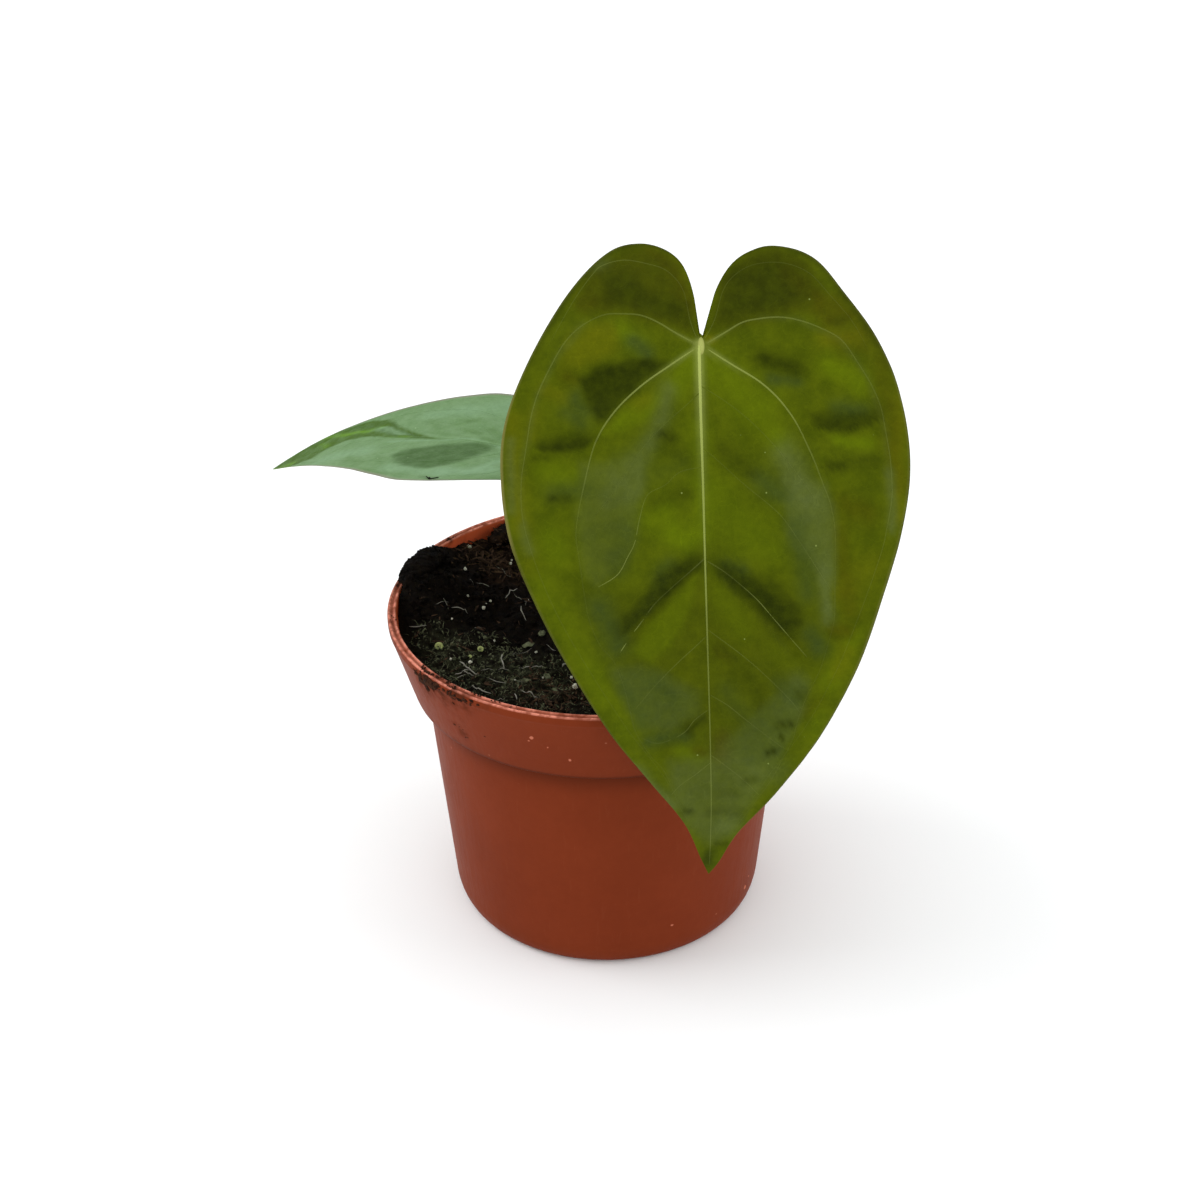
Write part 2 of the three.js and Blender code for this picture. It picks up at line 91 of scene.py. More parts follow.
# A vein is its path, its half widths and how pale it shows, both from its start to its end.
VEINS = {
    "midrib": ([
        (-0.5, 0.4), (-0.6, 16.9), (-0.5, 35.1), (-0.4, 52.7), (-0.1, 74.3), (0.4, 99.8), (0.6, 118),
        (0.2, 133)], (0.42, 0.34, 0.27, 0.22, 0.17, 0.13, 0.08),
        (1.6, 1.22, 0.8, 0.72, 0.38, 0.29, 0.27, 0.22)),
    "inner_a": ([
        (-1.5, 1.9), (-7.8, 5.8), (-14, 10), (-19, 14.2), (-22.7, 18.3), (-25.5, 22.5), (-27.3, 26.7),
        (-29.4, 34.4), (-30.8, 40.4), (-31.7, 46.4), (-31.1, 51.8), (-30.1, 60.3), (-29, 67), (-26.5, 73.3),
        (-23.5, 77.1), (-21.2, 82.8), (-19.5, 89.8), (-18.1, 95.7), (-14.7, 101.7), (-11, 106.5),
        (-7.3, 116), (-3.5, 123.1)], (0.24, 0.2, 0.15, 0.12, 0.1),
        (0.7, 0.55, 0.26, 0.08, 0.04, 0.03, 0.05, 0.04, 0.03)),
    "inner_b": ([
        (1.5, 2), (7.4, 6.1), (13.4, 10), (17.5, 13.8), (20.9, 18.2), (23.5, 22.5), (25.5, 27.3),
        (27.8, 33.4), (30.1, 40.1), (31.2, 46.8), (31.2, 53.4), (31, 60.1), (30.8, 68.6), (29.2, 74.8),
        (27.3, 81), (24.3, 87.2), (21.9, 93.6), (20.7, 98.7), (18.1, 103.9), (15.2, 109.7), (9.1, 118.7),
        (4.6, 125.6)], (0.24, 0.2, 0.15, 0.12, 0.1), (0.7, 0.55, 0.26, 0.08, 0.04, 0.03, 0.05, 0.04, 0.03)),
    "outer_a": ([
        (-1.4, 0.6), (-6.3, -2.2), (-10.5, -4.7), (-14.7, -6.3), (-19.6, -6.7), (-23.8, -6.4), (-28.7, -4),
        (-32.5, -0.6), (-35.4, 3.6), (-38.1, 8.4), (-40.1, 12.6), (-41.8, 18), (-42.8, 23.3), (-43.7, 28.1),
        (-44.6, 34), (-44.3, 43), (-41, 55), (-36, 67), (-29, 80), (-20, 95), (-11, 108), (-4, 122)],
        (0.22, 0.19, 0.16, 0.12, 0.1), (0.4, 0.2, 0.1, 0.12, 0.14, 0.1, 0.06, 0.04, 0.03)),
    "outer_b": ([
        (1.4, 0.6), (5.9, -1.9), (10.2, -4.2), (14.5, -4.9), (18.7, -5), (22.9, -4.3), (28.3, -2.3),
        (33.6, 0.9), (37.1, 5.9), (40.5, 11.5), (42.8, 17), (43.9, 21.8), (44.9, 28.4), (45.4, 36),
        (44.3, 46), (40.5, 58), (36, 70), (31, 82), (24, 95), (15, 108), (6, 122)],
        (0.22, 0.19, 0.16, 0.12, 0.1), (0.4, 0.32, 0.22, 0.1, 0.08, 0.12, 0.07, 0.04, 0.03)),
    "lobe_a": ([
        (-0.9, -0.4), (-2.5, -5.2), (-4, -12.7), (-7.5, -17.3), (-12.3, -19.3), (-18.6, -20.3),
        (-24.6, -18.3), (-30.3, -13.4), (-35.1, -6.8), (-38.6, -0.2)], (0.13, 0.12, 0.11, 0.1),
        (0.12, 0.06, 0.12, 0.2, 0.1, 0.06)),
    "lobe_b": ([
        (0.9, -0.4), (3.5, -5.2), (6, -12.7), (9.5, -16.6), (14.3, -18.6), (20.6, -18.6), (26.6, -16),
        (31.5, -10.4), (36.6, -3.8), (40, 3)], (0.13, 0.12, 0.11, 0.1),
        (0.12, 0.06, 0.06, 0.08, 0.08, 0.05)),
    "strong_a": ([
        (-0.1, 52.6), (-4.1, 56.1), (-9.1, 60.4), (-12.9, 63.9), (-16.6, 68.7), (-19.8, 72.9),
        (-22.8, 77.4)], (0.15, 0.15, 0.15, 0.13), (0.2, 0.1, 0.12, 0.5, 0.5)),
    "strong_b": ([
        (0.1, 53.6), (5, 56.9), (11.6, 62.8), (15.8, 67.7), (20, 72.8), (24.4, 78)],
        (0.15, 0.15, 0.14, 0.12), (0.15, 0.1, 0.4, 0.36, 0.14)),
    "upper_a": ([
        (-0.4, 30.7), (-6, 31.8), (-9.8, 34.9), (-14.1, 37.2), (-16.1, 42.6), (-17.4, 48.4), (-19.3, 52.1),
        (-21.9, 56.3), (-26.8, 59.2)], (0.13, 0.12, 0.12, 0.12), (0.08, 0.06, 0.1, 0.25, 0.34, 0.36)),
    "upper_b": ([
        (-0.3, 26.1), (4, 30), (9.7, 35.4), (17.5, 42.3), (21.5, 47.7), (26.2, 55.1), (30.4, 62)],
        (0.13, 0.12, 0.11, 0.1), (0.06, 0.05, 0.1, 0.08, 0.06)),
    "lower_a": ([
        (-0.1, 90.7), (-3.4, 93.2), (-5.9, 96.2), (-9.6, 98.3), (-12.9, 98.9), (-17, 97)], (0.12, 0.11, 0.1),
        (0.08, 0.16, 0.1, 0.06)),
    "lower_b": ([
        (0.4, 86.9), (4.6, 89.6), (8.2, 92.7), (12, 95.8), (18.5, 101)], (0.12, 0.11, 0.1),
        (0.08, 0.16, 0.1, 0.06)),
    "first_a": ([
        (-0.5, 12.5), (-5, 16.4), (-10, 20.6), (-15.5, 26.5), (-21, 34.5), (-27, 42)], (0.12, 0.11, 0.1),
        (0.08, 0.06, 0.05, 0.04)),
    "first_b": ([
        (-0.5, 11), (5, 14.6), (11, 19.6), (17, 26), (23, 34), (29, 43)], (0.12, 0.11, 0.1),
        (0.08, 0.06, 0.05, 0.04)),
    "third_a": ([
        (-0.2, 72), (-4, 75.4), (-8.4, 79.4), (-13, 84), (-18.4, 90)], (0.12, 0.11, 0.1),
        (0.08, 0.16, 0.1, 0.06)),
    "third_b": ([
        (0, 70.5), (4, 73.6), (9, 77.6), (14, 82.2), (20, 88.4), (22.6, 92)], (0.12, 0.11, 0.1),
        (0.08, 0.16, 0.1, 0.06)),
    "last_a": ([(0.4, 104.5), (-3.4, 107.6), (-7.2, 110.4), (-9.6, 112.8)], (0.13, 0.1), (0.12, 0.08)),
    "last_b": ([(0.5, 102.5), (4.4, 105.6), (9, 109.6), (12.6, 113.4)], (0.13, 0.1), (0.12, 0.08))}
MAIN_VEINS = ("midrib", "inner_a", "inner_b", "outer_a", "outer_b", "lobe_a", "lobe_b")

# Tints of the blades in leaf places. A stroke is (from across, along, to across, along, width, weight), a
# line is (path, its width to the left and to the right of the path, weight), and a patch is (outline,
# softness, weight). Some tints are painted light: shade is painted shade, mist is partly painted shade, glow
# is partly painted light, and on the smaller leaf the pale tints are painted sheen.
LOWER_FIELD = [
    (-30, 60), (-20, 84), (-8, 110), (0, 126), (8, 112), (20, 92), (30, 70), (20, 60), (0, 56), (-18, 60)]
GREY_LEFT = [(-23, 80), (-17, 79.5), (-9, 82), (-3, 86), (-3, 92), (-9, 96), (-16, 95), (-20, 89)]
GREY_RIGHT = [(12, 92), (20, 84), (24, 84), (22, 94), (17, 104), (9, 106), (6, 98)]
FRONT_TINTS = {
    "glow": dict(
        strokes=[
            (-1.5, 5, -6, 11, 3.5, 0.8), (-1, 22, -1, 46, 3, 0.5), (4, 8, 14, 17, 5, 0.7),
            (3, 38, 9, 48, 5, 0.5), (17, 23, 19, 26, 2.4, 0.8), (-8, 46, -4, 48, 3.4, 0.9),
            (-13, 43, -10, 40, 3.4, 0.6), (32, 24.6, 40, 26.2, 1.5, 0.9), (31, 7, 38, 12, 3, 0.8),
            (-38, 31, -33, 32, 3, 0.6), (-19, -2.5, -15.5, 0.5, 2.6, 0.8), (2.5, 62, 9, 70, 3.4, 0.6),
            (-37.5, 47, -36, 51, 3.4, 0.5), (-40, 58, -26, 86, 3, 0.25), (-28, 80, -20, 96, 3, 0.25),
            (-6.5, 101.5, -2, 103.5, 2.3, 0.95), (26, 97, 30, 84, 2.6, 0.4), (12, 44, 16, 50, 4, 0.4),
            (16, 76, 21, 80, 3, 0.3)],
        patches=[
            ([(-13, 13), (-20, 16.5), (-24, 22), (-19, 21), (-13, 18), (-9, 13)], 1.6, 0.7),
            # Painted light: the skin rising beyond the strong side vein.
            ([
                (-3, 58), (-7.5, 61), (-12, 66), (-16, 71), (-19, 75.5), (-14, 78), (-9, 74), (-5, 67)], 1.4,
                0.8),
            ([(33, 73), (30, 80), (27, 84), (32, 84), (36, 77), (38, 71)], 1.6, 0.6)]),
    "gold": dict(
        strokes=[
            (-29, 2, -24, 1, 3, 0.75), (-38, 11.5, -34, 12.5, 2, 0.7), (-41, 17, -42, 23, 1.8, 0.5),
            (30, 0.5, 38, 0.5, 2.2, 0.85), (33, 62, 40, 56, 4, 0.5), (-16, 15, -14, 14, 2, 0.6),
            (-22, -2, -26, -1.5, 1.6, 0.6), (-46, 18, -45.6, 44, 2.0, 0.7), (47.4, 16, 47, 44, 2.0, 0.8),
            (-44, 36, -43, 54, 2.2, 0.35), (0.5, -1.4, 2, -0.6, 1.1, 1.0)],
        patches=[
            ([(-33, -1), (-27, -4.2), (-22, -4.5), (-20, 1.5), (-25, 4.5), (-30, 6), (-35, 6)], 1.6, 0.6),
            ([(32, 74), (30.5, 79), (29, 84), (33, 83), (36.5, 76)], 1.4, 0.6)]),
    "rust": dict(
        strokes=[
            (-5.5, -18, -2.5, -9, 2.2, 0.6), (-12, -22.5, -8, -20.5, 2, 0.5), (21, -15, 25, -12, 3, 0.65),
            (43, 6, 46, 24, 2.8, 0.45), (46, 26, 47, 36, 2.4, 0.4), (33, 41, 39, 43, 3, 0.5),
            (31, 71, 34, 71.5, 1.8, 0.7), (2.8, 98, 3.4, 104, 2.1, 0.9), (-2.6, 101.4, -1.2, 102, 1.4, 0.7),
            (32, 47, 35, 66, 2.6, 0.5), (-33, 8, -31, 8.8, 2, 0.5), (2.2, 76, 5, 77.5, 1.5, 0.5),
            (-28, -9, -24, -10, 2.4, 0.45), (36, -8, 41, 1, 3, 0.4), (24, 91, 28, 89, 2.4, 0.35)],
        patches=[
            ([(28, -12), (33, -10), (37, -5), (35, -2), (30, -2.5), (26, -6)], 1.6, 0.65),
            ([
                (-27, -18), (-16, -24), (-6, -21), (-2, -10), (-2, -2), (-8, -4), (-18, -7), (-26, -7),
                (-30, -9)], 2.6, 0.5),
            ([
                (3, -3), (5, -15), (13, -22), (20, -22), (27, -18), (30, -12), (26, -6), (18, -5),
                (10, -3.8)], 2.6, 0.5),
            ([(30, -2), (38, -2), (41, 4), (33, 5)], 2.0, 0.3), (LOWER_FIELD, 6, 0.2)]),
    "silver": dict(
        strokes=[
            (-19, 31, -23, 38, 3.4, 0.5), (19.5, 28, 25, 40, 3.2, 0.8), (28.5, 56, 29.3, 68, 1.7, 0.85),
            (22.5, 40, 25, 41, 2.6, 0.6), (-18, 105.5, -9, 115.5, 1.6, 0.85),
            (-28, -18.4, -24, -19.6, 1.8, 0.6), (5, 101, 16, 107, 3.6, 0.45), (21, 84, 21, 90, 2.4, 0.5),
            (-46.6, 24, -47, 40, 1.1, 0.5), (45, 33, 45.4, 47, 1.2, 0.6), (-44.6, 44, -42.6, 50, 1.2, 0.5),
            (3.5, 122, 6, 120, 2.2, 0.7)],
        lines=[
            ([(-8, 12), (-10.5, 20), (-14, 26), (-16.5, 31), (-17.5, 37)], 2.0, 2.6, 0.6),
            ([
                (-28.7, -4), (-35.4, 3.6), (-40.1, 12.6), (-42.8, 23.3), (-44.6, 34), (-44.3, 43)], 0.8, 0.8,
                0.2),
            ([
                (14.5, -4.9), (22.9, -4.3), (33.6, 0.9), (40.5, 11.5), (43.9, 21.8), (45.4, 36)], 0.8, 0.8,
                0.15)],
        patches=[
            ([
                (-30, 29), (-22, 29), (-16, 37), (-17, 46), (-20, 53), (-27, 59), (-30, 56), (-31, 42)], 1.8,
                0.34),
            ([(19, 34), (29.5, 36), (31, 45), (31, 60), (27.5, 60), (24, 54), (20, 46)], 1.8, 0.62),
            ([
                (-10, 104), (10, 103), (15, 108), (10, 116), (6, 124), (0, 127), (-5, 122), (-9, 113)], 2.4,
                0.6),
            (GREY_LEFT, 2.4, 0.5), (GREY_RIGHT, 1.6, 0.5)]),
    # Dark grey-green, partly a bluish painted shade beside the strong side veins.
    "mist": dict(
        strokes=[
            (-16.5, 0, -13.5, 2.6, 2.0, 0.85), (-30.5, 13, -28, 16.5, 2.4, 0.6),
            (17, 10, 23, 10.6, 1.6, 0.7), (32, 17.5, 39, 18, 1.8, 0.7), (13, 34, 19, 38.5, 2.4, 0.7),
            (-36.5, 36, -30, 35, 2.4, 0.5), (22, 45, 24.5, 62, 2.6, 0.6), (-20, 46, -22, 54, 3, 0.4),
            (-33, 17, -29, 20, 2.2, 0.5), (25, 71.5, 27.4, 75.5, 2.2, 0.85), (-26, 64, -22, 74, 3.2, 0.8),
            (-15, 98.5, -6, 97.6, 1.8, 0.8), (-14, 83, -8, 88, 2.2, 0.4), (17, 84, 22, 88, 1.6, 0.5),
            (-9, 54.6, -11, 58.5, 2.2, 0.6), (-13.4, 62.6, -15.6, 65.6, 0.7, 0.7), (4, 86, 9, 92, 2.4, 0.4),
            (-21, 84, -17, 94, 1.8, 0.5), (5, 55.6, 9, 56.6, 1.8, 0.75), (-5, 30, -12, 33, 2.4, 0.2)],
        patches=[(GREY_LEFT, 2.4, 0.34), (GREY_RIGHT, 1.8, 0.34)]),
    # Painted shade: dark wedges in the valleys above the strong side veins, darker back lobes and dark
    # patches beside the inner veins.
    "shade": dict(
        strokes=[
            (-26, 7.4, -14, 5.6, 1.9, 0.75), (15, 5.0, 23, 7.6, 2.4, 0.85), (-10.5, 23, -8, 23.8, 1.5, 0.75),
            (-9, 26, -3, 30, 3, 0.3), (-12.4, 38.4, -4, 37.2, 1.8, 0.5), (5, 27, 11, 32, 2.4, 0.5),
            (-38, 28.2, -41, 28.4, 0.9, 0.5), (-37.4, 37.4, -33.6, 37.4, 1.2, 0.75),
            (35, -4.4, 33, -3.6, 1.4, 0.4), (14.5, 102.6, 16.4, 101.8, 0.9, 0.85),
            (17.4, 95, 20.6, 94.6, 1.1, 0.8), (17.8, 98.2, 18.2, 98.8, 0.6, 0.9),
            (-4, 117.6, -5.6, 117.2, 0.9, 0.6), (1.8, 75.4, 7, 78.2, 1.3, 0.5),
            (-1.6, 92.6, -4.8, 96, 1.1, 0.75), (3, 57, 8.5, 61.6, 1.1, 0.6), (10.5, 83, 13.5, 90, 1.8, 0.3),
            (30, 31.6, 33.5, 32, 1.1, 0.6), (1.6, 126.8, 4.4, 126.6, 0.8, 0.6),
            (1, 118, 8, 117.4, 1.6, 0.35), (9, 109.6, 11.4, 109.2, 0.9, 0.4), (3, 112, 6, 112.6, 1.6, 0.25),
            (22, 87, 23.6, 87.4, 1.1, 0.5)],
        lines=[
            ([(30.5, 22), (36, 22.1), (41, 21.4)], 3.4, 0.85, 0.8),
            ([(30, 30.6), (36, 30.2), (41.4, 29.8)], 1.1, 2.4, 0.45),
            ([(-38.6, 26), (-33, 25.6), (-28.6, 24.6)], 2.6, 0.9, 0.95),
            ([
                (-2, 54.8), (-5.6, 57.4), (-9.3, 60.8), (-13, 64.4), (-16.4, 68), (-19.6, 70.4)], 0.75, 3.4,
                0.97),
            ([(3.4, 57.4), (7.2, 60.2), (11.4, 63), (15, 66.8), (18.4, 70.4)], 3.8, 0.75, 0.98)],
        patches=[
            ([
                (-30.5, 8.5), (-24, 5.6), (-12, 4.0), (-8, 5.0), (-14, 9.9), (-19, 14.1), (-22.8, 18.4),
                (-25, 19.6), (-27, 16.4), (-28.5, 12.5)], 1.5, 0.9),
            ([
                (-22.5, -17), (-16, -16), (-12, -12), (-4, -9.5), (-3, -4.5), (-8, -5.6), (-14, -7.4),
                (-20, -8.2), (-24, -9)], 2.4, 0.62),
            ([
                (-27, -18), (-16, -24), (-6, -21), (-2, -10), (-2, -2), (-8, -4), (-18, -7.6), (-26, -7.4),
                (-30, -9)], 2.6, 0.36),
            ([
                (3, -3), (5, -15), (13, -22), (20, -22), (27, -18), (30, -12), (26, -7), (18, -5.4),
                (10, -3.8)], 2.6, 0.52),
            ([
                (8.5, -17), (18, -19), (22, -15), (24, -10), (19, -7), (13, -5.8), (7, -4.4), (5, -6)], 2.4,
                0.5),
            (LOWER_FIELD, 6, 0.17),
            ([
                (-20.7, 70), (-21, 66.2), (-16.5, 62), (-11.5, 56.2), (-4, 53.3), (-1, 54), (-4, 57.8),
                (-9, 62), (-14.8, 67), (-18.7, 70.3)], 1.0, 0.7),
            ([
                (3.5, 55.3), (7.7, 55), (12.7, 59.5), (17.7, 63.7), (23, 68.7), (21.8, 70.7), (17.7, 70.3),
                (12.7, 67), (7.7, 62), (4.3, 57.8)], 1.0, 0.55),
            ([(2, 38), (14, 38), (16, 50), (4, 52)], 3.0, 0.16),
            ([(-29, 36), (-20, 36), (-19, 56), (-28, 58)], 2.6, 0.16),
            ([(25, 17.8), (31, 18), (40, 18.6), (41, 21.4), (33, 21.8), (26, 20.6)], 0.9, 0.5),
            ([
                (11, 56), (17, 59.4), (20.5, 62.4), (23.6, 67.6), (22.6, 70), (18, 69), (14, 65), (9, 60)],
                0.9, 0.5)]),
    "tip": dict(strokes=[(0, 129.6, 0, 132.4, 1.9, 0.95)])}
# The smaller leaf's tints are painted sheen and shade: silver is painted sheen at a grazing view, and the
# green strip by the midrib, the dark lens (shade) and the dark lines are painted where that sheen is less.
LEFT_TINTS = {
    "glow": dict(
        patches=[
            ([
                (1, 88), (-3.6, 78.4), (-8, 70.4), (-11.2, 63.3), (-12, 56), (-12.1, 49), (-7.4, 42.9),
                (-2.2, 34.7), (1.3, 25.1), (0.6, 36.6), (-0.9, 44.5), (-2.6, 52.8), (-2.7, 59.5),
                (-0.1, 64.8), (5.3, 68.3), (5.4, 75.6), (3, 84)], 0.5, 1.0)]),
    "gold": dict(
        strokes=[(-1, 42, 0, 36, 0.8, 0.4), (-1.4, 66, -4, 70, 1.2, 0.5), (1.5, 82, 3, 77, 1.4, 0.7)],
        lines=[
            ([
                (-6.8, 76.8), (-8.2, 72.9), (-7.6, 66.7), (-6.6, 60.4), (-6, 54.7), (-6.6, 49)], 1.0, 1.0,
                0.85)]),
    "rust": dict(strokes=[(28, 15, 30, 9, 0.8, 0.4)]),
    "silver": dict(
        strokes=[
            (22, 30, 24, 12, 3.6, 0.6), (24, 12, 18, 1, 3, 0.8), (-22, 12, -14, 3, 4, 0.7),
            (-18, 24, -24, 16, 4, 0.5), (9, 62, 8, 46, 3.4, 0.6), (-14, 36, -18, 28, 3, 0.5),
            (10, 2, 22, 5, 2, 0.7)],
        lines=[
            ([
                (2.4, 41.7), (2.5, 32), (1.6, 24.1), (-1, 18.8), (-1.2, 14), (0.8, 8.2), (2, 5.5)], 0.5, 0.5,
                0.7)],
        patches=[
            ([
                (-6.2, 52.5), (-7.4, 49), (-6.9, 45.6), (-5, 42), (-3.2, 38.6), (-1.3, 35.6), (-1.8, 40),
                (-3.2, 45), (-4.6, 49.6)], 0.5, 0.6)]),
    "mist": dict(
        strokes=[
            (-9, 26, -14, 20, 1.0, 0.5), (-6.7, 21.9, -4.6, 16, 1.2, 0.6), (-8.4, 14, -4.8, 8.6, 2.2, 0.65),
            (-2.2, 13, -0.9, 9, 1.6, 0.7), (25.9, 28.1, 27.2, 14.5, 0.8, 0.3), (14, 37, 19, 35, 1.2, 0.35),
            (-10, 34, -6, 30, 1.6, 0.45), (-11.9, 26.3, -12.5, 16.6, 0.9, 0.3), (22, 40, 26, 30, 1.4, 0.5),
            (12, 50, 17, 42, 2, 0.45), (-3, 30, -2.4, 22, 1.1, 0.35)],
        lines=[
            ([
                (1.1, 72.2), (-4.5, 68.5), (-10.2, 63.9), (-6.6, 53.3), (-2.3, 45.3), (0.6, 36.6),
                (1.7, 29.1), (1.6, 24.1)], 0.5, 0.5, 0.35)]),
    "shade": dict(
        patches=[
            ([
                (12.5, 33.8), (8.8, 31.7), (6.7, 26.2), (3.3, 19.8), (0.6, 13.9), (1.2, 9.1), (4.8, 7.6),
                (9.9, 9), (15, 11), (19.1, 14.3), (20.7, 19.8), (20.4, 25.7), (17.5, 30.3)], 1.5, 0.88)],
        strokes=[(6, 22, 15, 26, 2.4, 0.4)],
        lines=[
            ([(-10.6, 62), (-8.6, 54), (-4, 45.6), (-1, 40)], 0.35, 0.7, 0.55),
            ([(-11.2, 48.6), (-5.8, 42), (-1.4, 36), (0.6, 29.7)], 0.3, 0.7, 0.5)]),
    "tip": dict(strokes=[(0, 80, 0, 90, 2.6, 0.7), (-8, 68, -2, 79, 0.9, 0.5)])}


# Numbers.

# Large primes, one for each part of a place and one for the seed, and a last one that mixes the bits.
PRIMES = (374761393, 668265263, 974634777, 144665537)
MIXING_PRIME = 1274126177
LARGEST = 0xFFFFFFFF


def lattice_value(i, j, k, seed):
    """A fixed number from 0 to 1 for each whole-number place: its parts times large primes, then bits
    shifted in."""
    mixed = sum(part * prime for part, prime in zip((i, j, k, seed), PRIMES)) & LARGEST
    mixed = ((mixed ^ (mixed >> 13)) * MIXING_PRIME) & LARGEST
    return (mixed ^ (mixed >> 16)) / LARGEST


def grain(x, y, z=0.0, seed=0):
    """Smooth noise from -1 to 1: values at the eight corners of a unit cell, blended by 3t^2 - 2t^3 on each
    axis."""
    places = np.broadcast_arrays(x, y, z)
    cells = [np.floor(place).astype(np.int64) for place in places]
    shares = [place - cell for place, cell in zip(places, cells)]
    shares = [share * share * (3 - 2 * share) for share in shares]
    total = np.zeros(places[0].shape)
    for corner in np.ndindex(2, 2, 2):
        weight = 1.0
        for step, share in zip(corner, shares):
            weight = weight * (share if step else 1 - share)
        total = total + weight * lattice_value(*(cell + step for cell, step in zip(cells, corner)), seed)
    return 2 * total - 1


def layered_grain(x, y, z=0.0, seed=0, layers=4, fade=0.5):
    """Noise summed over layers, each at half the size of the last and fade times its height."""
    total, height = 0.0, 1.0
    for layer in range(layers):
        total = total + height * grain(x * 2**layer, y * 2**layer, z * 2**layer, seed + layer)
        height *= fade
    return total


def smooth_step(value, low, high):
    """0 below low, 1 above high, and 3t^2 - 2t^3 between them."""
    share = np.clip((value - low) / (high - low), 0, 1)
    return share * share * (3 - 2 * share)


def fading(distance, width):
    """1 at no distance, and less on both sides of it: exp(-(distance / width)^2)."""
    return np.exp(-((distance / width) ** 2))


def through(points, places):
    """A curve through the points (Catmull-Rom) at places from 0 to 1, with the same share for each span."""
    knots = np.asarray(points, float)
    last = len(knots) - 1
    at = np.clip(np.asarray(places, float) * last, 0, last)
    index = at.astype(int)
    t = (at - index)[..., None]
    before, here, after, beyond = (knots[np.clip(index + step, 0, last)] for step in (-1, 0, 1, 2))
    start, end = (after - before) / 2, (beyond - here) / 2
    cubic, square = 2 * here - 2 * after + start + end, 3 * after - 3 * here - 2 * start - end
    return cubic * t**3 + square * t**2 + start * t + here


def spread_values(values, places):
    """The listed values, evenly spaced from 0 to 1, with straight lines between them."""
    return np.interp(places, np.linspace(0, 1, len(values)), values)


def to_line(across, along, x0, y0, x1, y1):
    """Distance to a straight line between two places."""
    dx, dy = x1 - x0, y1 - y0
    share = np.clip(((across - x0) * dx + (along - y0) * dy) / max(dx * dx + dy * dy, 1e-9), 0, 1)
    return np.hypot(across - x0 - share * dx, along - y0 - share * dy)


def brushed(across, along, strokes):
    """Soft strokes: each fades from its short line by its width, and they cover one another."""
    left = np.ones_like(across)
    for *line, width, weight in strokes:
        left = left * (1 - weight * fading(to_line(across, along, *line), width))
    return 1 - left


def beside(across, along, path):
    """Distance to a path of straight lines, and on which side of its nearest line a place is: 1 left, -1
    right."""
    nearest, side = np.full(across.shape, np.inf), np.zeros(across.shape)
    for (x0, y0), (x1, y1) in zip(path[:-1], path[1:]):
        distance = to_line(across, along, x0, y0, x1, y1)
        turn = np.sign((across - x0) * (y1 - y0) - (along - y0) * (x1 - x0))
        side = np.where(distance < nearest, turn, side)
        nearest = np.minimum(distance, nearest)
    return nearest, side


def lined(across, along, path, left, right):
    """A line that fades with a width of its own on each side."""
    distance, side = beside(across, along, path)
    return fading(distance, np.where(side > 0, left, right))


def patched(across, along, outline, softness):
    """A patch: 1 inside its outline and 0 outside, turning smoothly within the softness on both sides of
    it. A place is inside where a line from it crosses the outline an odd number of times."""
    corners = [*outline, outline[0]]
    distance = beside(across, along, corners)[0]
    inside = np.zeros(across.shape, bool)
    for (x0, y0), (x1, y1) in zip(corners[:-1], corners[1:]):
        spans = (y0 > along) != (y1 > along)
        crossing = x0 + (along - y0) / ((y1 - y0) or 1e-9) * (x1 - x0)
        inside ^= spans & (across < crossing)
    return smooth_step(np.where(inside, distance, -distance), -softness, softness)


def painted(across, along, tint):
    """A tint's strength at each place from its strokes, lines and patches, which cover one another."""
    left = 1 - brushed(across, along, tint.get("strokes", []))
    for *line, weight in tint.get("lines", []):
        left = left * (1 - weight * lined(across, along, *line))
    for *patch, weight in tint.get("patches", []):
        left = left * (1 - weight * patched(across, along, *patch))
    return 1 - left


def unit(vectors):
    """Each vector divided by its length."""
    return vectors / np.maximum(np.linalg.norm(vectors, axis=-1, keepdims=True), 1e-12)


# Shapes.


class Shape:
    """Points in millimetres, triangles, each triangle's finish number, and marks: named numbers for each
    point."""

    def __init__(self, points, faces, finish=0, **marks):
        self.points = np.asarray(points, float).reshape(-1, 3)
        self.faces = np.asarray(faces, np.int64).reshape(-1, 3)
        self.finish = np.broadcast_to(np.asarray(finish), len(self.faces)).astype(np.int32)
        self.marks = {name: np.broadcast_to(np.asarray(values, float).ravel(), len(self.points))
                      for name, values in marks.items()}

    def moved(self, points):
        """The same shape with its points at other places."""
        return Shape(points, self.faces, self.finish, **self.marks)


def joined(shapes):
    """One shape made of several, the points of each following those of the last."""
    names = sorted({name for shape in shapes for name in shape.marks})
    starts = np.cumsum([0] + [len(shape.points) for shape in shapes[:-1]])
    marks = {name: np.concatenate([shape.marks.get(name, np.zeros(len(shape.points))) for shape in shapes])
             for name in names}
    points = np.concatenate([shape.points for shape in shapes])
    faces = np.concatenate([shape.faces + start for shape, start in zip(shapes, starts)])
    return Shape(points, faces, np.concatenate([shape.finish for shape in shapes]), **marks)


def closed(shape):
    """Points at one place become one point, collapsed triangles and pairs back to back go, and the rest
    face out: the sum of a . (b x c) over the triangles, six times the volume, has to be positive."""
    keys = np.round(shape.points * 1e4).astype(np.int64)
    _, first, renumber = np.unique(keys, axis=0, return_index=True, return_inverse=True)
    faces = renumber.reshape(-1)[shape.faces]
    a, b, c = faces.T
    _, which, times = np.unique(np.sort(faces, axis=1), axis=0, return_inverse=True, return_counts=True)
    kept = (a != b) & (b != c) & (c != a) & (times[which.reshape(-1)] == 1)
    faces, points = faces[kept], shape.points[first]
    a, b, c = (points[corner] for corner in faces.T)
    if np.einsum("ij,ij->", a, np.cross(b, c)) < 0:
        faces = faces[:, ::-1]
    marks = {name: values[first] for name, values in shape.marks.items()}
    return Shape(points, faces, shape.finish[kept], **marks)


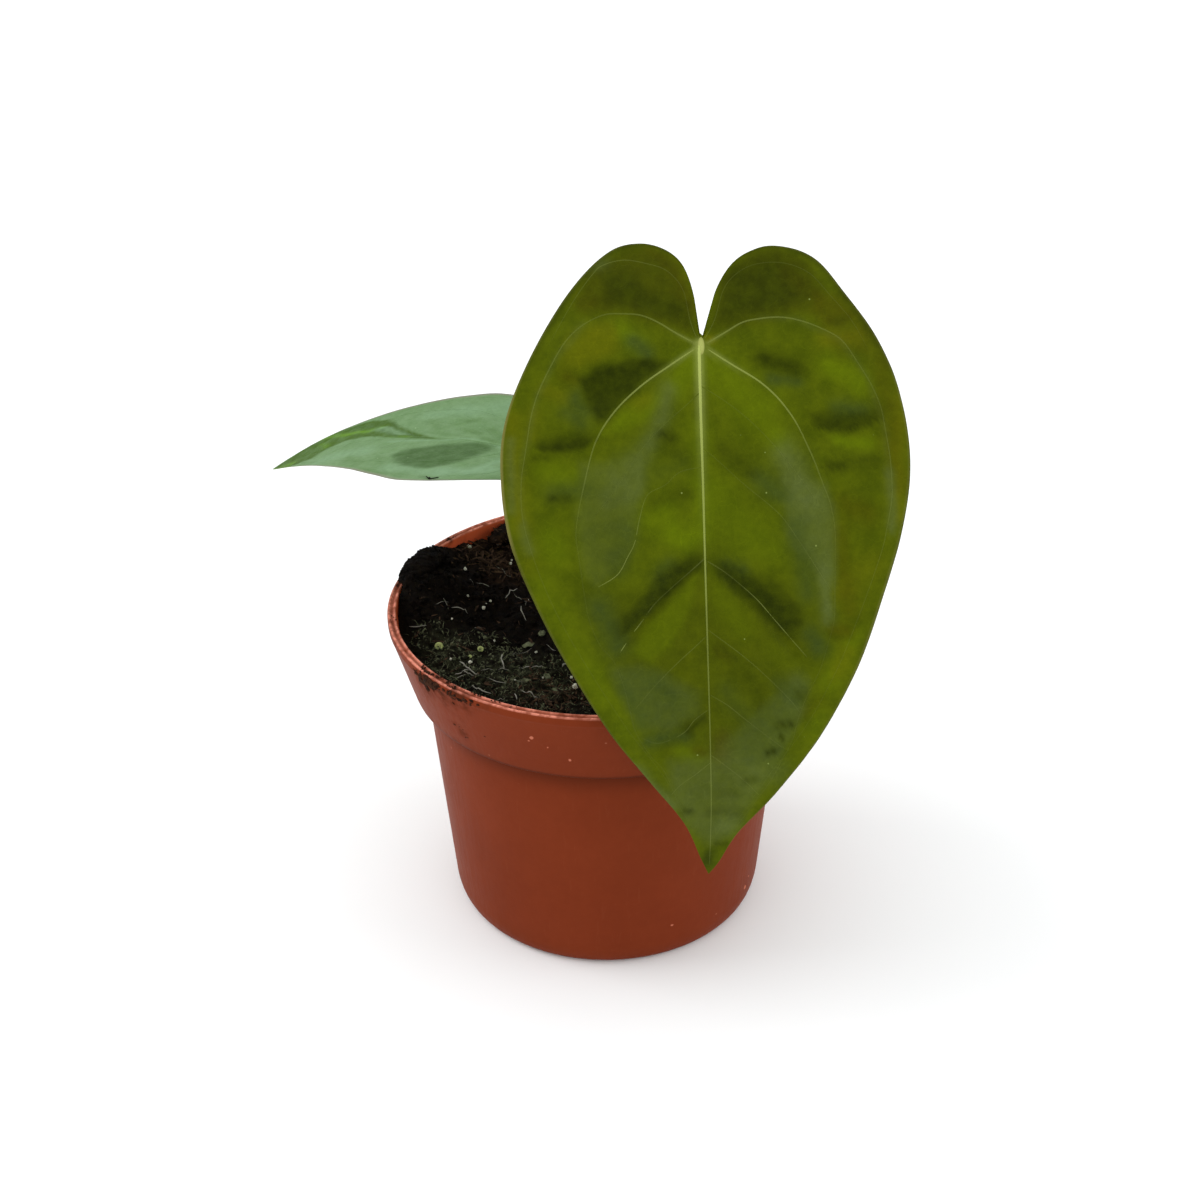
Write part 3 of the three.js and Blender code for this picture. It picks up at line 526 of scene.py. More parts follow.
def grid_faces(rows, columns, wrap=False):
    """Two triangles for each cell of a grid of points numbered row by row. A wrapped grid closes round its
    columns."""
    i = np.arange(rows - 1)[:, None]
    j = np.arange(columns if wrap else columns - 1)[None, :]
    a, b = i * columns + j, i * columns + (j + 1) % columns
    return np.stack([a, b, b + columns, a, b + columns, a + columns], -1).reshape(-1, 3)


def round_grid(points, finish=0, **marks):
    """A grid of points that closes round its columns, as a shape."""
    return Shape(points, grid_faces(*points.shape[:2], wrap=True), finish, **marks)


def round_angles(count):
    """Angles evenly round a whole turn."""
    return np.linspace(0, 2 * np.pi, count, endpoint=False)


def around(radius, angle, height):
    """Places at a radius and an angle about the upright axis: x = r cos a, y = r sin a, z = height."""
    return np.stack(np.broadcast_arrays(radius * np.cos(angle), radius * np.sin(angle), height), -1)


def rod(path, radius, sides=8, flatten=1.0, upright=(0, 0, 1), **marks):
    """A closed rod: at each step of the path a ring of points square to it, radius wide and radius x
    flatten high. The first and last rings shrink to a point. Marks are numbers along the path."""
    path = np.asarray(path, float)
    radius = np.broadcast_to(np.asarray(radius, float), len(path)).copy()
    radius[[0, -1]] = 0
    ahead = unit(np.gradient(path, axis=0))
    sideways = unit(np.cross(np.broadcast_to(np.asarray(upright, float), path.shape), ahead))
    upwards = np.cross(ahead, sideways)
    turn = round_angles(sides)
    wide = radius[:, None, None] * np.cos(turn)[None, :, None] * sideways[:, None, :]
    high = (radius * flatten)[:, None, None] * np.sin(turn)[None, :, None] * upwards[:, None, :]
    spread = {name: np.repeat(np.broadcast_to(np.asarray(values, float), len(path)), sides)
              for name, values in marks.items()}
    return closed(round_grid(path[:, None, :] + wide + high, **spread))


def lathe(profile, segments):
    """A profile of (radius, height) carried round the upright axis."""
    profile = np.asarray(profile, float)
    return round_grid(around(profile[:, :1], round_angles(segments), profile[:, 1:]))


def eased(corners, radius, steps=4):
    """A profile with its corners eased: each becomes a short curve with the corner as its middle control
    point, and starts and ends at most radius away from it."""
    corners = np.asarray(corners, float)
    here = corners[1:-1]
    start, end = (
        here + unit(arm) * np.minimum(radius, 0.45 * np.linalg.norm(arm, axis=1, keepdims=True))
        for arm in (corners[:-2] - here, corners[2:] - here))
    t = np.linspace(0, 1, steps + 1)[None, :, None]
    bends = (1 - t) ** 2 * start[:, None] + 2 * t * (1 - t) * here[:, None] + t**2 * end[:, None]
    return np.concatenate([corners[:1], bends.reshape(-1, 2), corners[-1:]])


def fine_steps(profile, longest):
    """A profile with points added along its long stretches, so that none is longer than the given
    length."""
    profile = np.asarray(profile, float)
    parts = [profile[:1]]
    for start, end in zip(profile[:-1], profile[1:]):
        count = max(1, math.ceil(np.linalg.norm(end - start) / longest))
        parts.append(start + (end - start) * (np.arange(1, count + 1) / count)[:, None])
    return np.concatenate(parts)


def lump(rings=4, sides=6, seed=0, rough=0.38):
    """A ball with a radius of 1, of rings and sides, its radius changed by rough x noise at each point."""
    polar = np.linspace(0, np.pi, rings + 1)[:, None]
    points = around(np.sin(polar), round_angles(sides), np.cos(polar))
    x, y, z = np.moveaxis(points, -1, 0) * 1.7
    return closed(round_grid(points * (1 + rough * grain(x + 9, y, z, seed))[..., None]))


def scattered(shape, centres, sizes, turns, **marks):
    """Copies of a small shape: each point is scaled along the copy's own axes, turned by its matrix and
    moved."""
    count, corners = len(centres), len(shape.points)
    points = np.einsum("nij,nkj->nki", turns, shape.points[None] * sizes[:, None, :]) + centres[:, None, :]
    faces = shape.faces[None] + (np.arange(count) * corners)[:, None, None]
    spread = {name: np.repeat(values, corners) for name, values in marks.items()}
    return Shape(points, faces, np.tile(shape.finish, count), **spread)


def about_upright(angle):
    """Matrices that turn about the upright by each angle."""
    c, s, o = np.cos(angle), np.sin(angle), np.zeros(len(angle))
    return np.stack([c, -s, o, s, c, o, o, o, o + 1], -1).reshape(-1, 3, 3)


def random_turns(rng, count, tilt=1.0):
    """Turning matrices: about the upright by any angle, after a tilt of up to the given share of a half
    turn."""
    spin = rng.uniform(0, 2 * np.pi, count)
    lean = rng.uniform(-1, 1, count) * tilt * np.pi / 2
    way = rng.uniform(0, 2 * np.pi, count)
    c, s, o = np.cos(lean), np.sin(lean), np.zeros(count)
    leaning = np.stack([o + 1, o, o, o, c, -s, o, s, c], -1).reshape(-1, 3, 3)
    return about_upright(way) @ leaning @ about_upright(spin)


def roughened(shape, depth, size, seed):
    """A shape whose points are moved along each axis by depth x layered noise of the given size, one for
    each axis."""
    x, y, z = shape.points.T / size
    moves = [layered_grain(x, y, z, seed=seed + step, layers=3, fade=0.6) for step in range(3)]
    return shape.moved(shape.points + depth * np.stack(moves, -1))


def make_piece(name, shape, finishes, stands_for=(), place=None):
    """Puts a shape into a mesh, in metres, with its finishes, its marks as point attributes, and, where it
    has a place of its own such as (across, along), that as its UV map."""
    mesh = bpy.data.meshes.new(name)
    mesh.vertices.add(len(shape.points))
    mesh.vertices.foreach_set("co", (shape.points * MM).ravel())
    mesh.loops.add(3 * len(shape.faces))
    mesh.loops.foreach_set("vertex_index", shape.faces.ravel().astype(np.int32))
    mesh.polygons.add(len(shape.faces))
    mesh.polygons.foreach_set("loop_start", np.arange(0, 3 * len(shape.faces), 3, dtype=np.int32))
    mesh.polygons.foreach_set("material_index", shape.finish)
    mesh.update(calc_edges=True)
    mesh.shade_smooth()
    for mark, values in shape.marks.items():
        mesh.attributes.new(mark, "FLOAT", "POINT").data.foreach_set("value", values.astype(np.float32))
    if place is not None:
        across, along = (shape.marks[mark][shape.faces.ravel()] for mark in place)
        layer = mesh.uv_layers.new(name="own_place")
        layer.uv.foreach_set("vector", (np.stack([across, along], -1) * 0.01).ravel().astype(np.float32))
    for finish in finishes:
        mesh.materials.append(finish)
    piece = bpy.data.objects.new(name, mesh)
    bpy.context.scene.collection.objects.link(piece)
    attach(piece, BODY)
    if stands_for:
        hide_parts(*stands_for)
    return piece


# Finishes.


BLACK, WHITE = (0, 0, 0, 1), (1, 1, 1, 1)


def tone(red, green, blue):
    """A colour given as on a screen, 0 to 255, as the linear colour that a shader takes."""
    parts = np.array([red, green, blue]) / 255
    return (*np.where(parts <= 0.04045, parts / 12.92, ((parts + 0.055) / 1.055) ** 2.4).tolist(), 1.0)


class Look:
    """The nodes of one shader tree and the places that its patterns read. Each method adds nodes and gives
    back what they put out."""

    def __init__(self, tree, place=None):
        self.tree, self.place = tree, place

    def put(self, kind, inputs=None, **settings):
        """Adds a node. Settings go on the node, and each input takes a plain value or another node's
        output."""
        node = self.tree.nodes.new(kind)
        for name, value in settings.items():
            setattr(node, name, value)
        for name, value in (inputs or {}).items():
            if isinstance(value, bpy.types.NodeSocket):
                self.tree.links.new(value, node.inputs[name])
            else:
                node.inputs[name].default_value = value
        return node

    def mixed(self, share, first, second, blend="MIX"):
        """The first colour turning into the second as the share goes from 0 to 1."""
        inputs = {0: share, 6: first, 7: second}
        return self.put("ShaderNodeMix", inputs, data_type="RGBA", blend_type=blend).outputs[2]

    def shaded(self, colour, factor, share=1.0):
        """A colour times another."""
        return self.mixed(share, colour, factor, "MULTIPLY")

    def number(self, operation, first, second, clamp=False):
        """Two numbers made one."""
        node = self.put("ShaderNodeMath", {0: first, 1: second}, operation=operation, use_clamp=clamp)
        return node.outputs[0]

    def times(self, first, second, clamp=False):
        """One number times another."""
        return self.number("MULTIPLY", first, second, clamp)

    def vector(self, operation, inputs):
        """Vectors made one."""
        return self.put("ShaderNodeVectorMath", inputs, operation=operation).outputs

    def ranged(self, value, low, high, to_low=0.0, to_high=1.0):
        """A value carried from one range to another with a smooth start and end."""
        inputs = {"Value": value, "From Min": low, "From Max": high, "To Min": to_low, "To Max": to_high}
        return self.put("ShaderNodeMapRange", inputs, interpolation_type="SMOOTHSTEP").outputs[0]

    def noise(self, scale, detail, roughness=0.5):
        """Layered noise at the look's places, as a number and as a colour."""
        inputs = {"Vector": self.place, "Scale": scale, "Detail": detail, "Roughness": roughness}
        return self.put("ShaderNodeTexNoise", inputs).outputs

    def mark(self, name):
        """A number painted on the piece's points."""
        return self.put("ShaderNodeAttribute", attribute_name=name).outputs["Fac"]

    def use(self, group, **inputs):
        """Places a node group, with its inputs named as in the group but with _ for a space."""
        named = {name.replace("_", " "): value for name, value in inputs.items()}
        return self.put("ShaderNodeGroup", {"Place": self.place, **named}, node_tree=group).outputs

    def blotches(self, scale, strength, colour, blotch):
        """Two colours in soft blotches, and how far each place has turned into the second."""
        return self.use(BLOTCHES, Scale=scale, Strength=strength, Colour=colour, Blotch=blotch)

    def broken(self, mark, scale):
        """A mark broken up by blotches."""
        return self.times(self.mark(mark), self.blotches(scale, 1.0, BLACK, WHITE)[1], clamp=True)

    def skin(self, scale, fine_share):
        """The height of a fine uneven skin."""
        return self.use(SKIN, Scale=scale, Fine_Share=fine_share)[0]


def effect(name, build, outputs, **inputs):
    """A node group that reads places and the named inputs: numbers, vectors, and colours where None is
    given. An output named Colour is a colour, and any other is a number. Build gets the group's look and
    its inputs."""
    group = bpy.data.node_groups.new(name, "ShaderNodeTree")
    kinds = {float: "NodeSocketFloat", tuple: "NodeSocketVector", type(None): "NodeSocketColor"}
    group.interface.new_socket("Place", in_out="INPUT", socket_type="NodeSocketVector")
    for name, value in inputs.items():
        label, kind = name.replace("_", " "), kinds[type(value)]
        socket = group.interface.new_socket(label, in_out="INPUT", socket_type=kind)
        if value is not None:
            socket.default_value = value
    for label in outputs:
        kind = "NodeSocketColor" if label == "Colour" else "NodeSocketFloat"
        group.interface.new_socket(label, in_out="OUTPUT", socket_type=kind)
    given = group.nodes.new("NodeGroupInput").outputs
    results = build(Look(group, given["Place"]), given)
    out = group.nodes.new("NodeGroupOutput")
    for label, result in zip(outputs, results):
        group.links.new(result, out.inputs[label])
    return group


def build_blotches(look, given):
    """Two colours in soft blotches of layered noise."""
    share = look.ranged(look.noise(given["Scale"], 5.0, 0.6)["Fac"], 0.32, 0.68)
    return look.mixed(look.times(share, given["Strength"]), given["Colour"], given["Blotch"]), share


def build_specks(look, given):
    """Small round specks at random places: 1 inside a speck and 0 outside, kept only in a share of the
    cells."""
    cells = look.put("ShaderNodeTexVoronoi", {"Vector": look.place, "Scale": given["Scale"]})
    inside = look.ranged(cells.outputs["Distance"], given["Size"], look.times(given["Size"], 0.55))
    parts = look.put("ShaderNodeSeparateColor", {"Color": cells.outputs["Color"]})
    return (look.times(inside, look.number("LESS_THAN", parts.outputs[0], given["Share"])),)


def build_net(look, given):
    """Fine net of branching lines: distance to the edges of cells whose places are shifted by noise."""
    shift = look.noise(look.times(given["Scale"], 0.7), 3.0)["Color"]
    centred = look.vector("SUBTRACT", {0: shift, 1: (0.5, 0.5, 0.5)})[0]
    small = look.vector("SCALE", {0: centred, "Scale": given["Wander"]})[0]
    place = look.vector("ADD", {0: look.place, 1: small})[0]
    inputs = {"Vector": place, "Scale": given["Scale"]}
    cells = look.put("ShaderNodeTexVoronoi", inputs, feature="DISTANCE_TO_EDGE")
    return (look.ranged(cells.outputs["Distance"], 0.0, given["Width"], 1.0, 0.0),)


def build_streaks(look, given):
    """Fine streaks: noise stretched along one direction."""
    look.place = look.vector("MULTIPLY", {0: look.place, 1: given["Stretch"]})[0]
    return (look.ranged(look.noise(1.0, 4.0, 0.65)["Fac"], 0.3, 0.7),)


def build_skin(look, given):
    """Fine uneven skin: two sizes of noise as one height."""
    broad, fine = (look.noise(scale, detail)["Fac"]
                   for scale, detail in ((given["Scale"], 3.0), (look.times(given["Scale"], 6.0), 2.0)))
    return (look.number("ADD", broad, look.times(fine, given["Fine Share"])),)


def build_chip(look, given):
    """One small uneven chip: 1 near its centre and 0 outside its size, with an edge that wanders by
    noise."""
    distance = look.vector("DISTANCE", {0: look.place, 1: given["Centre"]})["Value"]
    wandering = look.times(distance, look.times(look.noise(900.0, 2.0)["Fac"], 2.0))
    return (look.ranged(wandering, look.times(given["Size"], 0.6), given["Size"], 1.0, 0.0),)


BLOTCHES = effect("soft_blotches", build_blotches, ["Colour", "Mask"],
                  Scale=100.0, Strength=1.0, Colour=None, Blotch=None)
SPECKS = effect("small_specks", build_specks, ["Mask"], Scale=400.0, Size=0.2, Share=0.2)
NET = effect("fine_net", build_net, ["Mask"], Scale=30.0, Width=0.06, Wander=0.02)
STREAKS = effect("lengthwise_streaks", build_streaks, ["Mask"], Stretch=(400.0, 400.0, 40.0))
CHIP = effect("small_chip", build_chip, ["Mask"], Centre=(0.0, 0.0, 0.0), Size=0.0006)
SKIN = effect("uneven_skin", build_skin, ["Height"], Scale=1000.0, Fine_Share=0.5)


def finish(name, look_of, **constants):
    """A material. Look_of gets a look on the object's coordinates and gives the colour, the roughness and
    the bump, which is (height, strength, distance in metres). Constants are the shader's values that are
    the same all over."""
    material = bpy.data.materials.new(name)
    material.use_nodes = True
    tree = material.node_tree
    tree.nodes.clear()
    look = Look(tree)
    look.place = look.put("ShaderNodeTexCoord").outputs["Object"]
    colour, rough, (height, strength, distance) = look_of(look)
    bump = look.put("ShaderNodeBump", {"Height": height, "Strength": strength, "Distance": distance})
    inputs = {"Base Color": colour, "Roughness": rough, "Normal": bump.outputs[0]}
    inputs.update({key.replace("_", " "): value for key, value in constants.items()})
    shader = look.put("ShaderNodeBsdfPrincipled", inputs)
    look.put("ShaderNodeOutputMaterial", {"Surface": shader.outputs[0]})
    return material


TINT_ORDER = ("glow", "gold", "rust", "silver", "mist", "shade", "tip")


def leaf_face(colours, net_strength, nap_strength, rough):
    """The look of a blade's face: blotched base, its brushed tints, a fine net, pale veins and small pale
    specks."""
    tints = {name: tone(*shade) for name, shade in colours.items()}

    def look_of(look):
        look.place = look.put("ShaderNodeUVMap", uv_map="own_place").outputs[0]
        colour, blotch = look.blotches(14.0, 0.75, tints["base"], tints["dark"])
        for mark in TINT_ORDER:
            uneven = look.blotches(30.0, 0.22, tints[mark], tints["base"])[0]
            colour = look.mixed(look.mark(mark), colour, uneven)
        net = look.use(NET, Scale=30.0, Width=0.06, Wander=0.04)[0]
        shown = look.times(look.ranged(blotch, 0.2, 0.9, 0.15, 1.0), net_strength)
        colour = look.shaded(colour, (1.5, 1.45, 1.5, 1.0), look.times(net, shown))
        for scale, strength in ((38.0, 0.3), (72.0, 0.2), (150.0, 0.14)):
            colour = look.shaded(colour, look.blotches(scale, strength, WHITE, (0.64, 0.68, 0.62, 1))[0])
        speck = look.use(SPECKS, Scale=34.0, Size=0.09, Share=0.05)[0]
        colour = look.mixed(look.times(speck, 0.55), colour, tints["speck"])
        for mark in ("margin", "vein"):
            colour = look.mixed(look.mark(mark), colour, tints[mark])
        nap = look.skin(160.0, 0.4)
        relief = look.number("ADD", nap, look.times(net, -0.6))
        uneven_rough = look.ranged(nap, 0.4, 1.0, rough - 0.06, rough + 0.08)
        return colour, uneven_rough, (relief, nap_strength, 0.0004)

    return look_of


FRONT_COLOURS = dict(
    base=(82, 92, 6), dark=(62, 73, 4), glow=(92, 108, 5), gold=(94, 97, 6), rust=(70, 66, 3),
    silver=(87, 98, 47), mist=(56, 70, 28), shade=(34, 41, 4), tip=(46, 55, 8), speck=(150, 165, 90),
    margin=(136, 128, 74), vein=(170, 181, 98))
# Pale grey-green: a painted sheen over the velvet, seen at a grazing angle.
LEFT_COLOURS = dict(
    base=(116, 146, 104), dark=(104, 136, 90), glow=(70, 98, 34), gold=(102, 144, 42), rust=(36, 50, 36),
    silver=(128, 160, 124), mist=(86, 118, 66), shade=(66, 94, 50), tip=(64, 90, 22), speck=(180, 205, 160),
    margin=(146, 134, 128), vein=(128, 160, 112))
BACK_COLOURS = dict(
    base=(122, 146, 72), dark=(108, 134, 62), glow=(128, 150, 74), gold=(126, 146, 70), rust=(122, 138, 66),
    silver=(126, 150, 88), mist=(116, 142, 78), shade=(104, 130, 62), tip=(112, 146, 64),
    speck=(150, 170, 110), margin=(120, 140, 70), vein=(168, 184, 116))

olive_velvet = finish("olive_velvet", leaf_face(FRONT_COLOURS, 0.26, 0.25, 0.5), Sheen_Weight=0.02,
                      Sheen_Roughness=0.4, Sheen_Tint=(0.7, 1.0, 0.3, 1.0), Specular_IOR_Level=0.08,
                      Specular_Tint=(0.75, 1.0, 0.2, 1.0))
# Painted sheen: the same velvet as the large leaf, painted paler grey-green for its sheen at a grazing view.
grey_green_velvet = finish("grey_green_velvet", leaf_face(LEFT_COLOURS, 0.12, 0.2, 0.55),
                           Specular_IOR_Level=0.03, Specular_Tint=(0.6, 1.0, 0.4, 1.0))
blade_underside = finish("blade_underside", leaf_face(BACK_COLOURS, 0.35, 0.35, 0.6),
                         Specular_IOR_Level=0.25, Specular_Tint=(0.85, 1.0, 0.6, 1.0))

# Small pale chips in the pot's skin: (place, size), in metres.
CHIPS = [
    ((-0.0187, -0.0547, 0.0845), 0.0007), ((-0.0195, -0.0540, 0.0831), 0.0005),
    ((-0.0147, -0.0551, 0.0817), 0.0004), ((-0.0092, -0.0552, 0.0777), 0.0005),
    ((0.0180, -0.0418, 0.0119), 0.0005), ((0.0400, -0.0211, 0.0084), 0.0009),
    ((0.0412, -0.0196, 0.0112), 0.0005), ((0.0480, 0.0110, 0.0600), 0.0006),
    ((-0.0300, 0.0370, 0.0320), 0.0006)]


def terracotta(look):
    """Moulded plastic: uneven brown, a lip paler from wear and a painted highlight, painted light inside the
    collar, painted shade under the collar with grime in the lip's groove, dried soil broken up by noise,
    dust and pale chips."""
    colour = look.blotches(26.0, 0.6, tone(118, 49, 25), tone(107, 43, 21))[0]
    colour = look.shaded(colour, look.blotches(420.0, 0.2, WHITE, (0.86, 0.84, 0.82, 1))[0])
    scuffs = look.use(STREAKS, Stretch=(900.0, 900.0, 60.0))[0]
    # Breaks the lip's painted highlight and wear into streaks.
    crinkle = look.ranged(look.blotches(620.0, 1.0, BLACK, WHITE)[1], 0.1, 0.8, 0.45, 1.0)
    soiled = look.broken("soiled", 300.0)
    dust = look.use(SPECKS, Scale=260.0, Size=0.1, Share=0.05)[0]
    # In order: scuffs, painted light inside the collar, the paler lip (wear and painted highlight), painted
    # shade under the collar with grime in the groove, dried soil, and dust.
    for share, shade in (
            (look.ranged(scuffs, 0.82, 1.0, 0.0, 0.04), (160, 92, 68)), (look.mark("lit"), (188, 84, 50)),
            (look.times(look.mark("worn"), crinkle), (236, 150, 128)), (look.mark("grimy"), (78, 32, 16)),
            (soiled, (52, 28, 16)), (look.times(dust, 0.45), (170, 104, 80))):
        colour = look.mixed(share, colour, tone(*shade))
    for centre, size in CHIPS:
        chip = look.use(CHIP, Centre=centre, Size=size)[0]
        colour = look.mixed(look.times(chip, 0.75), colour, tone(196, 116, 90))
    plain_rough = look.ranged(scuffs, 0.2, 1.0, 0.42, 0.5)
    rough = look.number("ADD", plain_rough, look.times(soiled, 0.4), clamp=True)
    return colour, rough, (look.skin(900.0, 0.3), 0.12, 0.0003)


def toned(first, second, scale, height=0.6, rough=0.9):
    """A rough natural finish: two colours chosen by each bit's own tone and by noise, with a deep uneven
    skin."""

    def look_of(look):
        blotchy, mask = look.blotches(scale, 1.0, tone(*first), tone(*second))
        colour = look.mixed(look.times(look.mark("tone"), 0.65), blotchy, tone(*second))
        rough_skin = look.ranged(mask, 0.0, 1.0, rough - 0.12, rough)
        return colour, rough_skin, (look.skin(scale * 2, 0.6), height, 0.0008)

    return look_of


def peat(look):
    """Damp peat: black with dark brown in fine blotches, browner in some patches and grey-green in mossy
    ones."""
    colour, mask = look.blotches(520.0, 1.0, tone(4, 3, 3), tone(24, 18, 13))
    for mark, first, second in (
            ("brown", (22, 15, 10), (66, 47, 33)), ("mossy", (18, 20, 12), (78, 82, 58))):
        patch = look.blotches(700.0, 1.0, tone(*first), tone(*second))[0]
        spread = look.blotches(330.0, 1.0, BLACK, WHITE)[1]
        colour = look.mixed(look.times(look.mark(mark), spread), colour, patch)
    colour = look.mixed(look.times(look.mark("tone"), 0.5), colour, tone(20, 15, 11))
    return colour, look.ranged(mask, 0.0, 1.0, 0.8, 0.95), (look.skin(1100.0, 0.7), 0.8, 0.0008)


def stalk_skin(look):
    """Smooth green skin, streaked lengthwise, browner at the sheath and paler at the knee under the
    blade."""
    streak = look.use(STREAKS, Stretch=(1400.0, 1400.0, 90.0))[0]
    colour = look.mixed(streak, tone(84, 112, 40), tone(108, 134, 56))
    colour = look.mixed(look.mark("knee"), colour, tone(150, 168, 88))
    colour = look.mixed(look.mark("sheath"), colour, tone(116, 96, 48))
    fleck = look.use(SPECKS, Scale=700.0, Size=0.25, Share=0.3)[0]
    colour = look.mixed(look.times(fleck, 0.35), colour, tone(170, 184, 120))
    return colour, look.ranged(streak, 0.0, 1.0, 0.4, 0.52), (look.skin(700.0, 0.4), 0.2, 0.0003)


def bark(look):
    """Green-brown stem skin with darker scar rings and corky blotches."""
    colour = look.blotches(220.0, 0.9, tone(98, 92, 46), tone(128, 100, 62))[0]
    colour = look.mixed(look.mark("scar"), colour, tone(60, 42, 26))
    streak = look.use(STREAKS, Stretch=(900.0, 900.0, 120.0))[0]
    colour = look.mixed(look.ranged(streak, 0.5, 1.0, 0.0, 0.4), colour, tone(76, 66, 36))
    return colour, look.ranged(streak, 0.0, 1.0, 0.62, 0.8), (look.skin(600.0, 0.6), 0.6, 0.0006)


def dry_paper(look):
    """Papery scale: tan and brown lengthwise fibres, darker to the torn edge."""
    streak = look.use(STREAKS, Stretch=(1500.0, 1500.0, 70.0))[0]
    colour = look.mixed(streak, tone(112, 74, 40), tone(168, 128, 82))
    colour = look.shaded(colour, look.blotches(160.0, 0.7, WHITE, (0.6, 0.52, 0.44, 1))[0])
    colour = look.mixed(look.mark("edge"), colour, tone(70, 44, 24))
    return colour, look.ranged(streak, 0.0, 1.0, 0.68, 0.85), (streak, 0.5, 0.0004)


terracotta_plastic = finish("terracotta_plastic", terracotta, Specular_IOR_Level=0.03,
                            Specular_Tint=(1.0, 0.55, 0.38, 1.0))
petiole_skin = finish("petiole_skin", stalk_skin, Specular_IOR_Level=0.45)
stem_bark = finish("stem_bark", bark, Specular_IOR_Level=0.3)
dry_scale_leaf = finish("dry_scale_leaf", dry_paper, Specular_IOR_Level=0.3)
young_frond = finish("young_frond", toned((60, 70, 34), (178, 188, 120), 500.0, 0.3, 0.6),
                     Specular_IOR_Level=0.2)
dark_peat, brown_bits, dried_soil, green_moss = (
    finish(name, look_of, Specular_IOR_Level=0.04) for name, look_of in (
        ("dark_peat", peat),
        ("brown_bits", toned((15, 11, 9), (76, 58, 44), 500.0)),
        ("dried_soil", toned((18, 11, 8), (78, 48, 33), 900.0, 0.8)),
        ("green_moss", toned((14, 17, 9), (110, 114, 88), 600.0))))
pale_fibre, white_bead = (
    finish(name, look_of, Specular_IOR_Level=0.1) for name, look_of in (
        ("pale_fibre", toned((52, 48, 40), (150, 148, 138), 700.0, 0.3, 0.7)),
        ("white_bead", toned((140, 140, 120), (206, 206, 190), 900.0, 0.5, 0.8))))


# Pot.

# The lip's top: two ridges with a groove between them, as (inward from its outer edge, down from the top)
# and (outward from its inner edge, down from the top).
OUTER_RIDGE = [(0, 0.35), (0.5, 0), (0.95, 0.45)]
INNER_RIDGE = [(0.85, 0.45), (0.4, 0), (0, 0.4)]
OUTER_RIDGE_RADIUS, GROOVE_RADIUS, INNER_RIDGE_RADIUS = 59.5, 58.7, 57.9
POT_SEGMENTS = 320
PLAIN_FLOOR_RADIUS = 22.0


def collar_inner_radius(height):
    """Inside of the collar: the straight flare less the wall, and no wider than inside the lip."""
    rise = (height - POT["collar_bottom"]) / (POT["height"] - POT["collar_bottom"])
    plain = POT["collar_radius"] + (POT["rim_radius"] - POT["collar_radius"]) * rise - POT["wall"]
    return np.minimum(plain, POT["rim_radius"] - POT["lip_width"])


def collar_outer_radius(height):
    """Outside of the collar, a straight flare from its lower edge to the lip, and of the lip above it."""
    low, high = POT["collar_bottom"] + POT["edge_round"], POT["height"] - POT["edge_round"]
    outwards = (POT["rim_radius"] - POT["collar_radius"]) * (height - low) / (high - low)
    flare = POT["collar_radius"] + outwards
    return np.where(height > POT["height"] - POT["lip_depth"], POT["rim_radius"], flare)


def drained_floor(inner, outer, height, sector_points):
    """A ring of floor with a round hole in each sector, and the holes' edges. In a sector, lines run from
    the hole's edge to the sector's outline, which is two arcs and two radial sides with the same number of
    points on each."""
    half = np.pi / DRAIN["count"]
    share = np.arange(sector_points) / sector_points
    radii = inner + (outer - inner) * share
    straight = half + 0 * share
    sides = [(inner, half * (1 - 2 * share)), (radii, -straight), (outer, half * (2 * share - 1)),
             (radii[::-1] + (outer - inner) / sector_points, straight)]
    outline = np.concatenate([around(radius, angle, 0.0)[:, :2] for radius, angle in sides])
    centre = np.array([DRAIN["circle"], 0.0])
    edge = centre + unit(outline - centre) * DRAIN["radius"]
    t = np.linspace(0, 1, 5)[:, None, None]
    sector = edge * (1 - t) + outline * t
    turns = 2 * half * (np.arange(DRAIN["count"]) + 0.5)
    spun = [sector @ np.array([[math.cos(a), math.sin(a)], [-math.sin(a), math.cos(a)]]) for a in turns]
    shapes = [round_grid(np.insert(flat, 2, height, axis=-1)) for flat in spun]
    return joined(shapes), [flat[0] for flat in spun]


